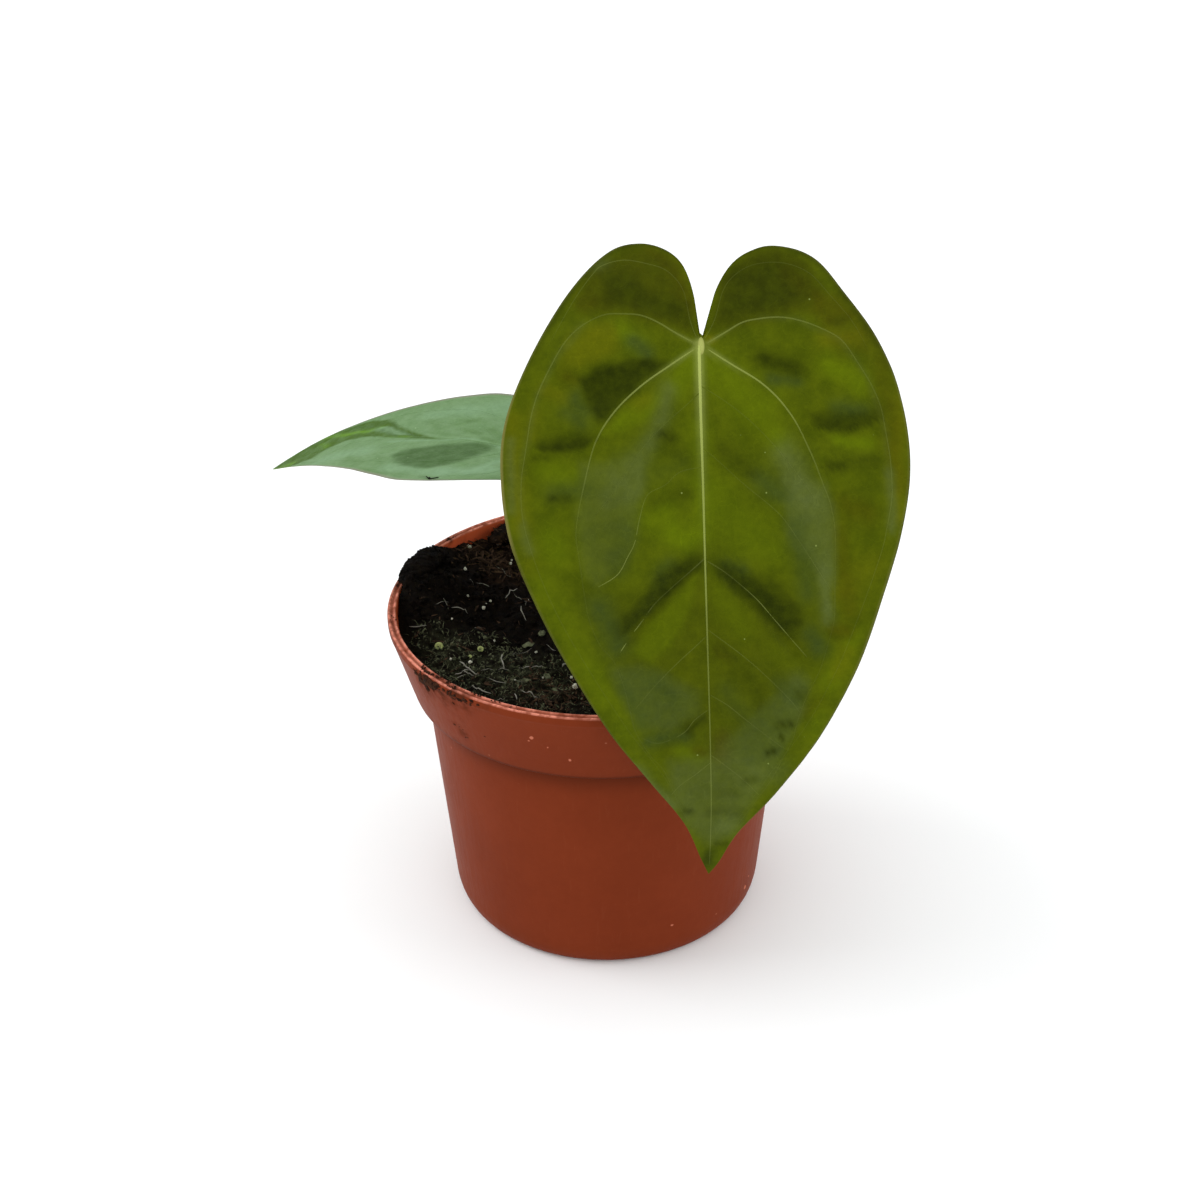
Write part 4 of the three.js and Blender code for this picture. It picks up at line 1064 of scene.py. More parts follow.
def pot_shape():
    """The pot: its outer and inner profiles turned about the axis, joined to a floor with drain holes at
    both faces and a wall through each hole. The heel is a curve with three control points."""
    height, edge, wall, rim = POT["height"], POT["edge_round"], POT["wall"], POT["rim_radius"]
    collar, collar_bottom = POT["collar_radius"], POT["collar_bottom"]
    lip_inner, lip_bottom = rim - POT["lip_width"], height - POT["lip_depth"]
    heel_top = (POT["heel_radius"], POT["heel_height"])
    foot, corner, top = np.array([(POT["base_radius"], 0.0), (POT["heel_radius"] - 0.4, edge), heel_top])
    t = np.linspace(0, 1, 9)[:, None]
    heel = (1 - t) ** 2 * foot + 2 * t * (1 - t) * corner + t**2 * top
    inner_heel = np.stack([heel[:, 0] - wall, np.maximum(heel[:, 1], wall)], -1)[::-1]
    upper = eased([
        heel_top, (POT["body_radius"], collar_bottom - 0.01),
        (collar - 0.3, collar_bottom), (collar, collar_bottom + edge),
        (rim - 0.25, lip_bottom - 0.3), (rim, lip_bottom + 0.2),
        *((rim - inward, height - down) for inward, down in OUTER_RIDGE),
        *((lip_inner + outward, height - down) for outward, down in INNER_RIDGE),
        (lip_inner, lip_bottom), (collar_inner_radius(lip_bottom - wall), lip_bottom - wall),
        (collar_inner_radius(collar_bottom + wall), collar_bottom + wall),
        (POT["body_radius"] - wall, collar_bottom + wall), tuple(inner_heel[0])], 0.45)
    profile = fine_steps(np.concatenate([heel, upper[1:-1], inner_heel]), 1.6)
    floor_outer = inner_heel[-1][0]
    parts = [lathe(profile, POT_SEGMENTS), lathe([(floor_outer, 0), (POT["base_radius"], 0)], POT_SEGMENTS)]
    edges, sector_points = [], POT_SEGMENTS // DRAIN["count"]
    for level in (0.0, wall):
        ring, hole_edges = drained_floor(PLAIN_FLOOR_RADIUS, floor_outer, level, sector_points)
        disc = lathe([(radius, level) for radius in (0, 8, 15, PLAIN_FLOOR_RADIUS)], POT_SEGMENTS)
        parts += [ring, disc] if level == 0 else [turned_over(ring), turned_over(disc)]
        edges.append(hole_edges)
    for low, high in zip(*edges):
        parts.append(round_grid(np.stack([np.insert(high, 2, wall, axis=1), np.insert(low, 2, 0, axis=1)])))
    return closed(joined(parts))


def turned_over(shape):
    """A shape whose faces look the other way."""
    return Shape(shape.points, shape.faces[:, ::-1], shape.finish, **shape.marks)


SOILED_MARKS = [
    (-142, 89.5, -136, 89, 2.4, 0.9), (-138, 92.4, -126, 92.6, 1.6, 0.8), (-134, 86, -131, 84, 2.4, 0.45),
    (-131, 90.4, -127, 88.6, 1.8, 0.8), (-124, 91, -119, 91.4, 1.4, 0.4), (-146, 91, -143, 86, 2, 0.55),
    (-134.6, 79, -131, 77, 1.6, 0.5), (-137.4, 72.8, -136.6, 72.2, 0.6, 0.5), (150, 92, 170, 92, 4, 0.7),
    (-178, 92, -160, 92, 1.6, 0.4), (141.6, 93, 141.6, 88, 0.9, 1.0), (138, 93, 137, 91, 0.8, 0.6),
    (30, 92, 60, 91, 3, 0.5), (-20, 88, -12, 90, 3, 0.4), (80, 84, 96, 86, 3, 0.5)]


def pot_marks(points):
    """How soiled the pot is at each point, how pale its lip is from wear and painted highlight, where it has
    painted shade and grime, and where painted light stands for light through its thin wall. Soil is brushed
    on in places of (degrees round, height), with a degree about a millimetre wide. The lip's two ridges are
    paler, partly from wear and partly as a painted highlight, grime lies in its groove, painted shade lies
    under the collar and along its lower edge, and the inside of the collar is painted brighter, for light
    shining through the thin plastic."""
    radius, height, edge = np.hypot(points[:, 0], points[:, 1]), points[:, 2], POT["collar_bottom"]
    degrees = np.degrees(np.arctan2(points[:, 1], points[:, 0]))
    wander = 1.4 * layered_grain(degrees / 3, height / 3, seed=3)
    soiled = brushed(degrees + wander, height + 0.6 * wander, SOILED_MARKS) * smooth_step(radius, 50, 53)
    high = smooth_step(height, POT["height"] - 0.6, POT["height"] - 0.35)
    ridges = fading(radius - OUTER_RIDGE_RADIUS, 0.4) + fading(radius - INNER_RIDGE_RADIUS, 0.42)
    ridge = high * np.clip(ridges, 0, 1)
    patchy = np.clip(0.9 + 0.6 * layered_grain(degrees / 1.3, radius / 2, seed=8, layers=3), 0.2, 1)
    # The paler lip: partly wear, partly a painted highlight along its two ridges.
    worn = (0.35 * high + 0.65 * ridge) * patchy
    inside = 1 - smooth_step(radius - collar_inner_radius(height), 0.1, 0.9)
    # Painted light: the inside of the collar painted brighter, for light shining through the thin wall.
    lit = inside * smooth_step(height, 78, 82) * (1 - ridge) * 0.85
    over_body = smooth_step(radius, 50.4, 51.4)
    # Painted shade below the collar and along its lower edge.
    under = (1 - over_body) * smooth_step(height, edge - 9, edge) * 0.8 * (height < edge + 0.1)
    corner = fading(height - edge - 0.2, 0.7) * over_body * 0.9
    filling = np.clip(0.8 * layered_grain(degrees / 4, height, seed=6), 0, 0.7)
    groove = high * fading(radius - GROOVE_RADIUS, 0.3) * filling
    # One mark for the painted shade under the collar and the grime in the lip's groove.
    grimy = np.maximum(np.maximum(under * smooth_step(radius, 44, 44.6), corner), groove)
    marks = dict(soiled=soiled, worn=worn, lit=lit, grimy=grimy)
    return {name: np.clip(values, 0, 1) for name, values in marks.items()}


pot_body = pot_shape()
pot_body.marks = pot_marks(pot_body.points)
make_piece("pot_shell", pot_body, [terracotta_plastic], ["pot"])


# Soil.

# Crumbs lie on this band of the lip's top, and no speck on the collar is higher than this.
LIP_BAND = (57.7, 59.5)
HIGHEST_SPECK = 92.7
# Loose bits keep this far from the wall, and fibres end inside this radius.
CLEAR_OF_WALL = 1.2
FIBRE_REACH = 53
# Soil pushed up against the wall: (degrees round, spread in degrees, rise at the wall, where it starts).
BANKS = [(112, 13, 5.2, 44), (134, 12, 2.6, 42), (163, 26, 1.2, 46)]

# Where the soil is mossy and where it is brown: (from x, y, to x, y, width, weight).
MOSSY = [
    (-42, -20, -22, -26, 9, 0.75), (-22, -26, 4, -36, 10, 0.5), (-45, -8, -40, -12, 5, 0.5),
    (20, 10, 30, 40, 14, 0.5)]
BROWN = [
    (-30, 48, -14, 54, 9, 0.95), (-36, 42, -30, 34, 8, 0.9), (-30, 26, -24, 32, 6, 0.7),
    (-16, -36, -4, -34, 5, 0.7), (30, -20, 44, 4, 9, 0.6)]


def soil_height(x, y):
    """The soil's broad top: level, a low dome round the stem, a heap against one stretch of the wall, and
    lumps."""
    radius = np.hypot(x, y)
    off_heap = np.abs(np.angle(np.exp(1j * (np.arctan2(y, x) - SOIL["heap_angle"]))))
    outwards = smooth_step(radius, SOIL["heap_start"], SOIL["heap_end"])
    heap = SOIL["heap_height"] * fading(off_heap, SOIL["heap_spread"]) * outwards
    dome = SOIL["dome_height"] * fading(radius, SOIL["dome_radius"])
    lumps = 0.8 * np.sin(0.23 * x + 0.9) * np.sin(0.19 * y + 0.4) + 0.5 * np.sin(0.41 * x - 0.33 * y)
    return SOIL["level"] + heap + dome + lumps


def banked(x, y):
    """How much higher the soil lies where it is pushed up against the wall."""
    radius, degrees = np.hypot(x, y), np.degrees(np.arctan2(y, x))
    rise = 0.0
    for middle, spread, height, start in BANKS:
        off = (degrees - middle + 180) % 360 - 180
        rise = rise + height * fading(off, spread) * smooth_step(radius, start, SOIL["heap_end"])
    return rise


def rough_soil_height(x, y):
    """The broad top with crumbs: noise of six sizes, made sharper where the finer three rise."""
    coarse = layered_grain(x / 7.0, y / 7.0, seed=11, layers=3, fade=0.6)
    fine = layered_grain(x / 2.2, y / 2.2, seed=21, layers=3, fade=0.62)
    return soil_height(x, y) + banked(x, y) + 0.9 * coarse + 0.4 * fine + 0.5 * np.maximum(fine, 0) ** 2


def soil_marks(x, y):
    """The soil's colouring at each place: its fine tone, and how mossy and how brown it is there."""
    fine_tone = np.clip(0.35 + 0.65 * layered_grain(x / 1.6, y / 1.6, seed=5, layers=2), 0, 1)
    return dict(tone=fine_tone, mossy=brushed(x, y, MOSSY), brown=brushed(x, y, BROWN))


def soil_shape(segments=360, rings=118):
    """The soil: rings from its floor up inside the pot's wall, then its rough top from the wall to the
    middle."""
    angle, gap, wall = round_angles(segments), SOIL["gap"], POT["wall"]
    thick = wall + gap
    ledge = POT["collar_bottom"] + wall + gap
    lip_inner = POT["rim_radius"] - POT["lip_width"] - gap
    edge_x, edge_y = lip_inner * np.cos(angle), lip_inner * np.sin(angle)
    edge_height = soil_height(edge_x, edge_y) + banked(edge_x, edge_y)
    edge_radius = collar_inner_radius(np.minimum(edge_height, POT["height"])) - gap - 0.05
    shoulder = SOIL["level"] - 6
    foot, heel, body = (POT[name] - wall - gap for name in ("base_radius", "heel_radius", "body_radius"))
    sides = [(0.0, thick), (foot, thick), (heel, POT["heel_height"]), (body, ledge),
             (collar_inner_radius(ledge) - gap, ledge), (collar_inner_radius(shoulder) - gap, shoulder)]
    share = np.linspace(1, 0, rings)[:, None]
    x, y = share * edge_radius * np.cos(angle), share * edge_radius * np.sin(angle)
    top = np.stack([x, y, rough_soil_height(x, y)], -1)
    points = np.concatenate([np.stack([around(radius, angle, height) for radius, height in sides]), top])
    return closed(round_grid(points, **soil_marks(points[..., 0], points[..., 1])))


make_piece("soil_body", soil_shape(), [dark_peat], ["soil"])


def clumping(x, y):
    """How thick and pale moss and litter lie at a place, 0 to 1, in clumps a few millimetres wide."""
    return smooth_step(layered_grain(x / 3.6, y / 3.6, seed=33, layers=2), -0.55, 0.55)


def over_soil(rng, count, region=None, outer=54.0, inner=6.0):
    """Random places on the soil's top, with the same number for each patch of it. Region is (centre,
    radius)."""
    radius = np.sqrt(rng.uniform((inner / outer) ** 2, 1, count)) * outer
    angle = rng.uniform(0, 2 * np.pi, count)
    centre = (0.0, 0.0)
    if region:
        centre, size = region
        radius = size * np.sqrt(rng.uniform(0, 1, count))
    x, y = centre[0] + radius * np.cos(angle), centre[1] + radius * np.sin(angle)
    kept = np.hypot(x, y) < collar_inner_radius(soil_height(x, y)) - CLEAR_OF_WALL
    return x[kept], y[kept]


def bits_on_soil(rng, count, size, stretch, sink, tilt=1.0, region=None, rings=4, sides=6, seed=0):
    """Rough lumps of a range of sizes on the soil, stretched along their own axes and sunk a share of their
    size."""
    x, y = over_soil(rng, count, region)
    scale = rng.uniform(0, 1, len(x)) ** 2 * (size[1] - size[0]) + size[0]
    sizes = scale[:, None] * np.array(stretch) * rng.uniform(0.75, 1.25, (len(x), 3))
    centres = np.stack([x, y, rough_soil_height(x, y) + scale * (1 - sink) * min(stretch)], -1)
    marks = {**soil_marks(x, y), "tone": rng.uniform(0, 1, len(x)) * (0.25 + 0.75 * clumping(x, y))}
    return scattered(lump(rings, sides, seed), centres, sizes, random_turns(rng, len(x), tilt), **marks)


def strands(rng, count, region, length, radius, rise, tones):
    """Fine strands that start at places on the soil, run out a random way, bend and rise and come down
    again."""
    shapes = []
    t = np.linspace(0, 1, 6)
    for x0, y0 in zip(*over_soil(rng, count, region)):
        turn = rng.uniform(0, 2 * np.pi) + rng.uniform(-1.2, 1.2) * t
        reach = rng.uniform(*length) * t
        x, y = x0 + reach * np.cos(turn), y0 + reach * np.sin(turn)
        ground = np.maximum(rough_soil_height(x, y), rough_soil_height(x0, y0))
        z = ground + 0.05 + rng.uniform(*rise) * np.sin(np.pi * 0.85 * t)
        width = rng.uniform(*radius) * np.sin(np.pi * np.clip(0.15 + t, 0, 1))
        thick = clumping(x0, y0)
        pale = rng.uniform(*tones) * (0.15 + thick)
        width = width * (0.6 + 0.6 * thick)
        shapes.append(rod(np.stack([x, y, z], -1), width, sides=4, flatten=0.5, tone=pale))
    return joined(shapes)


def on_lip(rng, piles):
    """Crumbs in small piles on the lip: each pile is (degrees round, radius, spread, count, largest
    size)."""
    centres, sizes = [], []
    for degrees, radius, spread, count, largest in piles:
        angle = np.radians(degrees + rng.normal(0, spread, count))
        reach = np.clip(radius + rng.normal(0, 0.5 * spread, count), *LIP_BAND)
        centres.append(around(reach, angle, POT["height"] - 0.05))
        sizes.append(rng.uniform(0.35, 1, count) * largest)
    centres, sizes = np.concatenate(centres), np.concatenate(sizes)
    flat = sizes[:, None] * rng.uniform(0.6, 1.2, (len(sizes), 3)) * (1, 1, 0.6)
    turns = random_turns(rng, len(sizes), 0.1)
    return scattered(lump(seed=2), centres, flat, turns, tone=rng.uniform(0, 0.7, len(sizes)))


def on_collar(rng, specks):
    """Flat crumbs stuck to the collar, each at (degrees round, height, size)."""
    degrees, height, size = np.array(specks).T
    angle = np.radians(degrees)
    centres = around(collar_outer_radius(height) + 0.1 * size, angle, height)
    sizes = size[:, None] * np.array([0.35, 1.0, 0.75]) * rng.uniform(0.7, 1.2, (len(size), 3))
    tones = rng.uniform(0, 0.8, len(size))
    return scattered(lump(5, 8, 4), centres, sizes, about_upright(angle), tone=tones)


def clumped(rng, clumps):
    """Many specks for on_collar, close together: (degrees round, height, spread, count, largest size)
    each."""
    specks = []
    for degrees, height, spread, count, largest in clumps:
        off = np.clip(rng.normal(0, spread, (count, 2)), -2 * spread, 2 * spread)
        place = [degrees + off[:, 0], np.minimum(height + 0.7 * off[:, 1], HIGHEST_SPECK)]
        specks.append(np.stack([*place, rng.uniform(0.3, 1, count) * largest], -1))
    return np.concatenate(specks)


def heap_over_rim(first, last, radius, level, thick, ends=0.5):
    """The heap where it lies over the rim: a rod along an arc, flattened, thinner to its ends, and
    roughened."""
    t = np.linspace(0, 1, 90)
    path = around(radius, np.radians(first + (last - first) * t), level - 1.6 * (2 * t - 1) ** 4)
    width = thick * np.sin(np.pi * np.clip(t, 0.0, 1.0)) ** ends
    return roughened(rod(path, width, sides=36, flatten=0.56, tone=0.0), 0.34, 1.9, 91)


def crumbs_on(rng, shape, count, largest, stretch=(1, 1, 1)):
    """Small lumps on a shape's own surface, at points picked from it."""
    picked = shape.points[rng.integers(0, len(shape.points), count)]
    sizes = rng.uniform(0.3, 1, count)[:, None] * largest * rng.uniform(0.7, 1.2, (count, 3)) * stretch
    return scattered(lump(seed=2), picked, sizes, random_turns(rng, count), tone=rng.uniform(0, 0.6, count))


def clod(degrees, height, wide, high, seed):
    """A flat rough clod on the outside of the collar: a ball pressed flat against it, its skin moved by
    noise."""
    angle = math.radians(degrees)
    out = np.array([math.cos(angle), math.sin(angle), 0])
    across = np.array([-math.sin(angle), math.cos(angle), 0])
    centre = out * (float(collar_outer_radius(height)) - 0.05) + np.array([0, 0, height])
    ball = roughened(lump(14, 20, rough=0.0), 0.3, 0.7, seed)
    x, y, z = ball.points.T
    flat, wider = np.outer(0.35 * (1 + wide / 3) * x, out), np.outer(wide * y, across)
    return Shape(centre + flat + wider + np.outer(high * z, (0, 0, 1)), ball.faces, tone=0.1)


# Piles of crumbs on the lip, clumps of specks on the collar, single specks, and clods, which are
# (degrees round, height, half width, half height, seed).
LIP_PILES = [
    (-141, 59.2, 0.8, 26, 0.45), (-143.5, 58.8, 0.7, 14, 0.4), (-137, 58.4, 0.7, 16, 0.4),
    (-131, 59.4, 0.9, 20, 0.4), (-124, 58.2, 0.8, 12, 0.35), (-133.6, 58, 0.7, 14, 0.35),
    (-119, 58, 1.2, 8, 0.3), (-113, 58.2, 1.2, 6, 0.25), (48, 58.6, 1.4, 12, 0.5), (95, 58.4, 1.2, 8, 0.4),
    (141, 58.4, 0.7, 14, 0.4), (170, 58.6, 1.0, 10, 0.4), (-170, 58.2, 1.0, 8, 0.3)]
CLUMPS = [
    (-143.0, 90.6, 1.5, 70, 0.55), (-139.6, 91.2, 1.0, 40, 0.5), (-145.4, 91.2, 0.7, 16, 0.4),
    (-141.4, 88.4, 0.9, 24, 0.45), (-136.4, 91.6, 0.7, 14, 0.4), (-131.4, 91.4, 0.9, 22, 0.45),
    (-128.6, 90.4, 1.0, 26, 0.45), (-125.6, 91.2, 0.8, 16, 0.4), (-130.2, 88.2, 0.8, 14, 0.4),
    (-126.6, 88.8, 0.6, 8, 0.3), (-133.0, 79.2, 0.8, 12, 0.4), (-131.2, 76.0, 0.6, 6, 0.35),
    (160, 88, 1.6, 14, 0.5), (50, 87, 1.4, 10, 0.45)]
SPECKS_ON_COLLAR = [
    (-144, 89, 0.5), (-137, 86.1, 0.4), (-135.2, 86.5, 0.4), (-132, 89.9, 0.6), (-127.2, 91.6, 0.5),
    (-126.2, 89.2, 0.4), (-134.5, 79, 0.6), (-132.6, 79.3, 0.4), (-131.4, 75.8, 0.4), (-123.5, 79.8, 0.5),
    (-116.9, 89, 0.25), (-141.1, 82.5, 0.3), (-138.8, 81.7, 0.35), (-141.5, 87.2, 0.4), (-129, 84, 0.3),
    (-121, 86.5, 0.2), (-148, 86, 0.3), (-152, 88.5, 0.4), (-119.4, 82.6, 0.2), (-109, 87.6, 0.18),
    (-128, 87.6, 0.4), (-130.4, 87.2, 0.5), (-135, 88.6, 0.5), (-139, 88.4, 0.6), (150, 88, 0.6),
    (158, 86, 0.5), (163, 89, 0.8), (52, 88, 0.5), (47, 84, 0.35), (100, 87, 0.4), (-20, 86, 0.3)]
CLODS = [
    (-143.4, 90.4, 2.5, 2.1, 5), (-140.0, 91.3, 2.4, 1.5, 6), (-137.6, 91.3, 1.7, 1.2, 7),
    (-141.8, 88.4, 1.7, 1.4, 8), (-136.4, 92.0, 1.0, 0.6, 9), (-130.6, 90.6, 1.1, 0.5, 10),
    (-128.4, 91.0, 0.8, 0.4, 11), (-126.6, 91.5, 0.9, 0.5, 12), (-131.4, 88.4, 0.6, 0.7, 13),
    (-124.4, 92.2, 0.6, 0.3, 14), (-122.6, 91.7, 0.5, 0.3, 15), (-133.8, 91.6, 0.6, 0.4, 16)]

crumb_random = np.random.default_rng(41)
rim_heap = heap_over_rim(172, 145, 56.6, 93.2, 4.3)
wall_heap = heap_over_rim(129.5, 92, 53.4, 91.0, 4.6, 0.35)
wall_heap.marks["brown"] = np.full(len(wall_heap.points), 0.85)

crumbs = joined([
    bits_on_soil(crumb_random, 1100, (0.25, 1.0), (1.2, 0.85, 0.6), 0.3, seed=1),
    bits_on_soil(crumb_random, 300, (0.3, 1.0), (1.2, 0.9, 0.6), 0.3, region=((-47, 14), 17), seed=3),
    rim_heap, crumbs_on(crumb_random, rim_heap, 220, 0.55),
    wall_heap, crumbs_on(crumb_random, wall_heap, 160, 0.6)])
make_piece("soil_crumbs", crumbs, [dark_peat])

lip_crumbs = on_lip(crumb_random, LIP_PILES)
collar_crumbs = on_collar(crumb_random, np.concatenate([SPECKS_ON_COLLAR, clumped(crumb_random, CLUMPS)]))
stuck = joined([lip_crumbs, collar_crumbs, *[clod(*numbers) for numbers in CLODS]])
make_piece("dried_soil_on_pot", stuck, [dried_soil])

chips = joined([
    bits_on_soil(crumb_random, 260, (0.3, 0.7), (3.2, 0.6, 0.35), 0.3, 0.3, seed=6),
    bits_on_soil(crumb_random, 170, (0.4, 0.9), (4.0, 0.5, 0.35), 0.1, 0.35, ((-33, 38), 13), seed=7),
    bits_on_soil(crumb_random, 90, (0.3, 0.7), (3.4, 0.6, 0.4), 0.2, 0.3, ((-12, -34), 10), seed=8),
    bits_on_soil(crumb_random, 150, (0.4, 0.8), (4.2, 0.5, 0.35), -0.6, 0.5, ((-20, 48), 12), seed=7),
    strands(crumb_random, 260, ((-30, 38), 14), (1.5, 6.0), (0.07, 0.16), (0.1, 0.9), (0.0, 1.0)),
    strands(crumb_random, 120, ((-14, -34), 11), (1.5, 5.0), (0.07, 0.15), (0.1, 0.7), (0.0, 0.9)),
    strands(crumb_random, 200, None, (1.0, 4.0), (0.05, 0.12), (0.05, 0.4), (0.0, 0.5)),
    crumbs_on(crumb_random, wall_heap, 200, 0.55, (3.4, 0.5, 0.4))])
make_piece("bark_bits", chips, [brown_bits])

# White beads at set places: (x, y, size).
BEADS = [
    (-40.1, 37.8, 0.8), (-31.6, 43.3, 0.85), (-46.9, 18.5, 0.4), (-40, 21.1, 0.5), (-27.7, 33.9, 0.5),
    (-27.4, 35.9, 0.3), (-38.8, 11.5, 0.42), (-34.2, 7.7, 0.6), (-32.4, 11.1, 0.4), (-33.5, 9.3, 0.25),
    (-41.6, -20, 0.4), (-36.4, -19.8, 0.55), (-42.4, -1.9, 0.36), (-16.6, -27.3, 0.3), (-30.4, -8.2, 0.3),
    (-18.8, -13.4, 0.4), (-24, -28, 0.3), (-9, -26, 0.4)]


def beads_shape(rng):
    """White mineral beads: rough balls lying half in the soil, at set places and at random ones further
    round."""
    x, y, size = np.array(BEADS).T
    more_x, more_y = over_soil(rng, 46, outer=48)
    apart = (more_x > -12) | (more_y > 44)
    x, y = np.r_[x, more_x[apart]], np.r_[y, more_y[apart]]
    size = np.r_[size, rng.uniform(0.3, 0.8, apart.sum())]
    z = rough_soil_height(x, y) + 0.2 + 0.8 * size + 0.5 * soil_marks(x, y)["brown"]
    sizes = size[:, None] * rng.uniform(0.85, 1.15, (len(size), 3))
    turns = random_turns(rng, len(size))
    tones = rng.uniform(0, 1, len(size))
    return scattered(lump(5, 8, 9), np.stack([x, y, z], -1), sizes, turns, tone=tones)


make_piece("mineral_beads", beads_shape(crumb_random), [white_bead])

# Fibres at set places: (from x, y, to x, y, radius, arch), then random ones.
FIBRES = [
    (-23.8, 10.4, -21.9, 1.1, 0.2, 0.5), (-27.9, -14.8, -26.9, -23.7, 0.2, 0.5),
    (-39.4, -18.6, -33.4, -25.2, 0.2, 0.6), (-40.5, -23.8, -36, -22.4, 0.18, 0.4),
    (-35.5, -31.5, -29.9, -33.5, 0.2, 0.6), (-54.2, -4.6, -49.2, -4.2, 0.17, 0.3),
    (-43.2, 4, -38.2, 3.3, 0.14, 0.8), (-28.4, 14, -25, 20.8, 0.16, 0.4),
    (-23.3, -23.1, -15.7, -22.4, 0.15, 0.5), (-11.5, -22.5, -10.1, -20.5, 0.18, 0.4),
    (-23.9, -35, -23.2, -37.2, 0.17, 0.3), (-40.1, -25.3, -37.3, -24.3, 0.15, 0.3),
    (-38.6, -23, -34.6, -24.6, 0.13, 0.3), (-22.5, -33.3, -17.2, -36.4, 0.13, 0.4),
    (-31, -27, -26, -29.5, 0.12, 0.3)]


def fibre(rng, x0, y0, x1, y1, radius, arch, pale):
    """A thin root or straw: a line bent sideways by noise and arched up between its two ends on the
    soil."""
    t = np.linspace(0, 1, 12)
    bow = np.sin(np.pi * t)
    length = math.hypot(x1 - x0, y1 - y0)
    ahead, offset = np.array([x1 - x0, y1 - y0]) / length, rng.uniform(0, 50)
    wander = 0.06 * length * grain(3 * t + offset, 0.5, seed=31) * bow
    bend = 0.06 * length * bow * rng.choice([-1, 1]) + wander
    x, y = x0 + (x1 - x0) * t - ahead[1] * bend, y0 + (y1 - y0) * t + ahead[0] * bend
    z = np.maximum(rough_soil_height(x, y), soil_height(x, y)) + radius * 0.8 + arch * bow
    thin = radius * (0.55 + 0.45 * np.sin(np.pi * np.clip(t * 1.1, 0, 1)))
    return rod(np.stack([x, y, z], -1), thin, sides=6, tone=pale)


def fibres_shape(rng, count):
    """The fibres at set places, and a number of thinner random ones."""
    shapes = [fibre(rng, *numbers, rng.uniform(0.6, 1.0)) for numbers in FIBRES]
    for x0, y0 in zip(*over_soil(rng, count, outer=50)):
        turn, length = rng.uniform(0, 2 * np.pi), rng.uniform(2.5, 8)
        x1, y1 = x0 + length * math.cos(turn), y0 + length * math.sin(turn)
        if math.hypot(x1, y1) < FIBRE_REACH:
            thin = [rng.uniform(*limits) for limits in ((0.05, 0.11), (0.05, 0.5), (0, 0.4))]
            shapes.append(fibre(rng, x0, y0, x1, y1, *thin))
    return joined(shapes)


make_piece("soil_fibres", fibres_shape(crumb_random, 60), [pale_fibre])

# Coiled fronds: (x, y, radius, thickness). Litter: (x, y, half length, half width, turn in radians).
CURLS = [(-45.6, -11.2, 1.1, 0.4), (-34.1, -12.4, 0.8, 0.28), (-36.7, -15.4, 0.45, 0.2)]
LITTER = [
    (-20.6, -8.6, 2.2, 1.2, 0.4), (-15.6, -26.5, 1.6, 1.0, 2.0), (-17.4, -6.8, 1.5, 0.9, 1.2),
    (-21, -30.2, 1.3, 0.8, 0.2), (-12.7, -31.3, 1.6, 0.8, 2.6), (-28, -20, 1.1, 0.7, 1.0),
    (-33, -8, 0.9, 0.6, 2.2), (24, 30, 2.0, 1.1, 0.8)]
# Patches of moss: (centre, radius) and the number of its tufts and of its strands.
MOSS_PATCHES = [
    (((-34, -20), 15), 420), (((-14, -32), 14), 300), (((22, 26), 26), 160), (((-48, -8), 6), 60)]


def curl(x0, y0, radius, thick):
    """A young coiled frond: a rod coiled inwards nearly twice round, thinner to its inner end, in a plane
    that leans back from the front: x = r cos a, y = 0.6 r sin a, z = 0.8 r sin a."""
    t = np.linspace(0, 1, 36)
    turn, reach = 3.4 * np.pi * t - 1.2, radius * (1 - 0.8 * t)
    x, rise = x0 + reach * np.cos(turn), reach * np.sin(turn)
    path = np.stack([x, y0 + 0.6 * rise, rough_soil_height(x0, y0) + 0.7 * radius + 0.8 * rise], -1)
    # Tone runs from pale on the outer turn to dark at the inner end: a painted highlight and painted shade
    # in the middle of the coil.
    return rod(path, thick * (1 - 0.4 * t), upright=(0, -0.8, 0.6), tone=1 - 0.9 * t)


def litter(x0, y0, length, width, turn):
    """A small flat piece of moss or leaf on the soil, its skin moved by noise."""
    ball = lump(10, 16, rough=0.0)
    x, y, z = (ball.points * (length, width, 0.3)).T
    c, s = math.cos(turn), math.sin(turn)
    flat = roughened(ball.moved(np.stack([x * c - y * s, x * s + y * c, z], -1)), 0.4, 0.9, int(10 * turn))
    return Shape(flat.points + (x0, y0, rough_soil_height(x0, y0) + 0.5), flat.faces, tone=0.42)


def moss_shape(rng):
    """Moss and leaf litter: many fine grey-green strands over small dark tufts, thickest in the front, with
    flat pieces of litter."""
    shapes = [litter(*numbers) for numbers in LITTER]
    for region, count in MOSS_PATCHES:
        shapes.append(bits_on_soil(rng, count, (0.14, 0.42), (1.5, 0.8, 0.5), 0.1, 1.0, region, 3, 5, 12))
        shapes.append(strands(rng, count, region, (0.8, 3.2), (0.05, 0.13), (0.05, 0.7), (0.0, 0.8)))
    return joined(shapes)


make_piece("moss_sprigs", moss_shape(crumb_random), [green_moss])
make_piece("coiled_fronds", joined([curl(*numbers) for numbers in CURLS]), [young_frond])


# Stem and stalks.

SCAR_DEPTHS = (13, 9.6, 6.8, 4.6)
ROOT_END = 82.0
# Roots: (degrees round, starting height, reach, radius).
ROOTS = [(40, 89.0, 9, 0.95), (150, 88.4, 8, 0.85), (262, 88.8, 10, 0.9), (205, 87.6, 7, 0.7)]


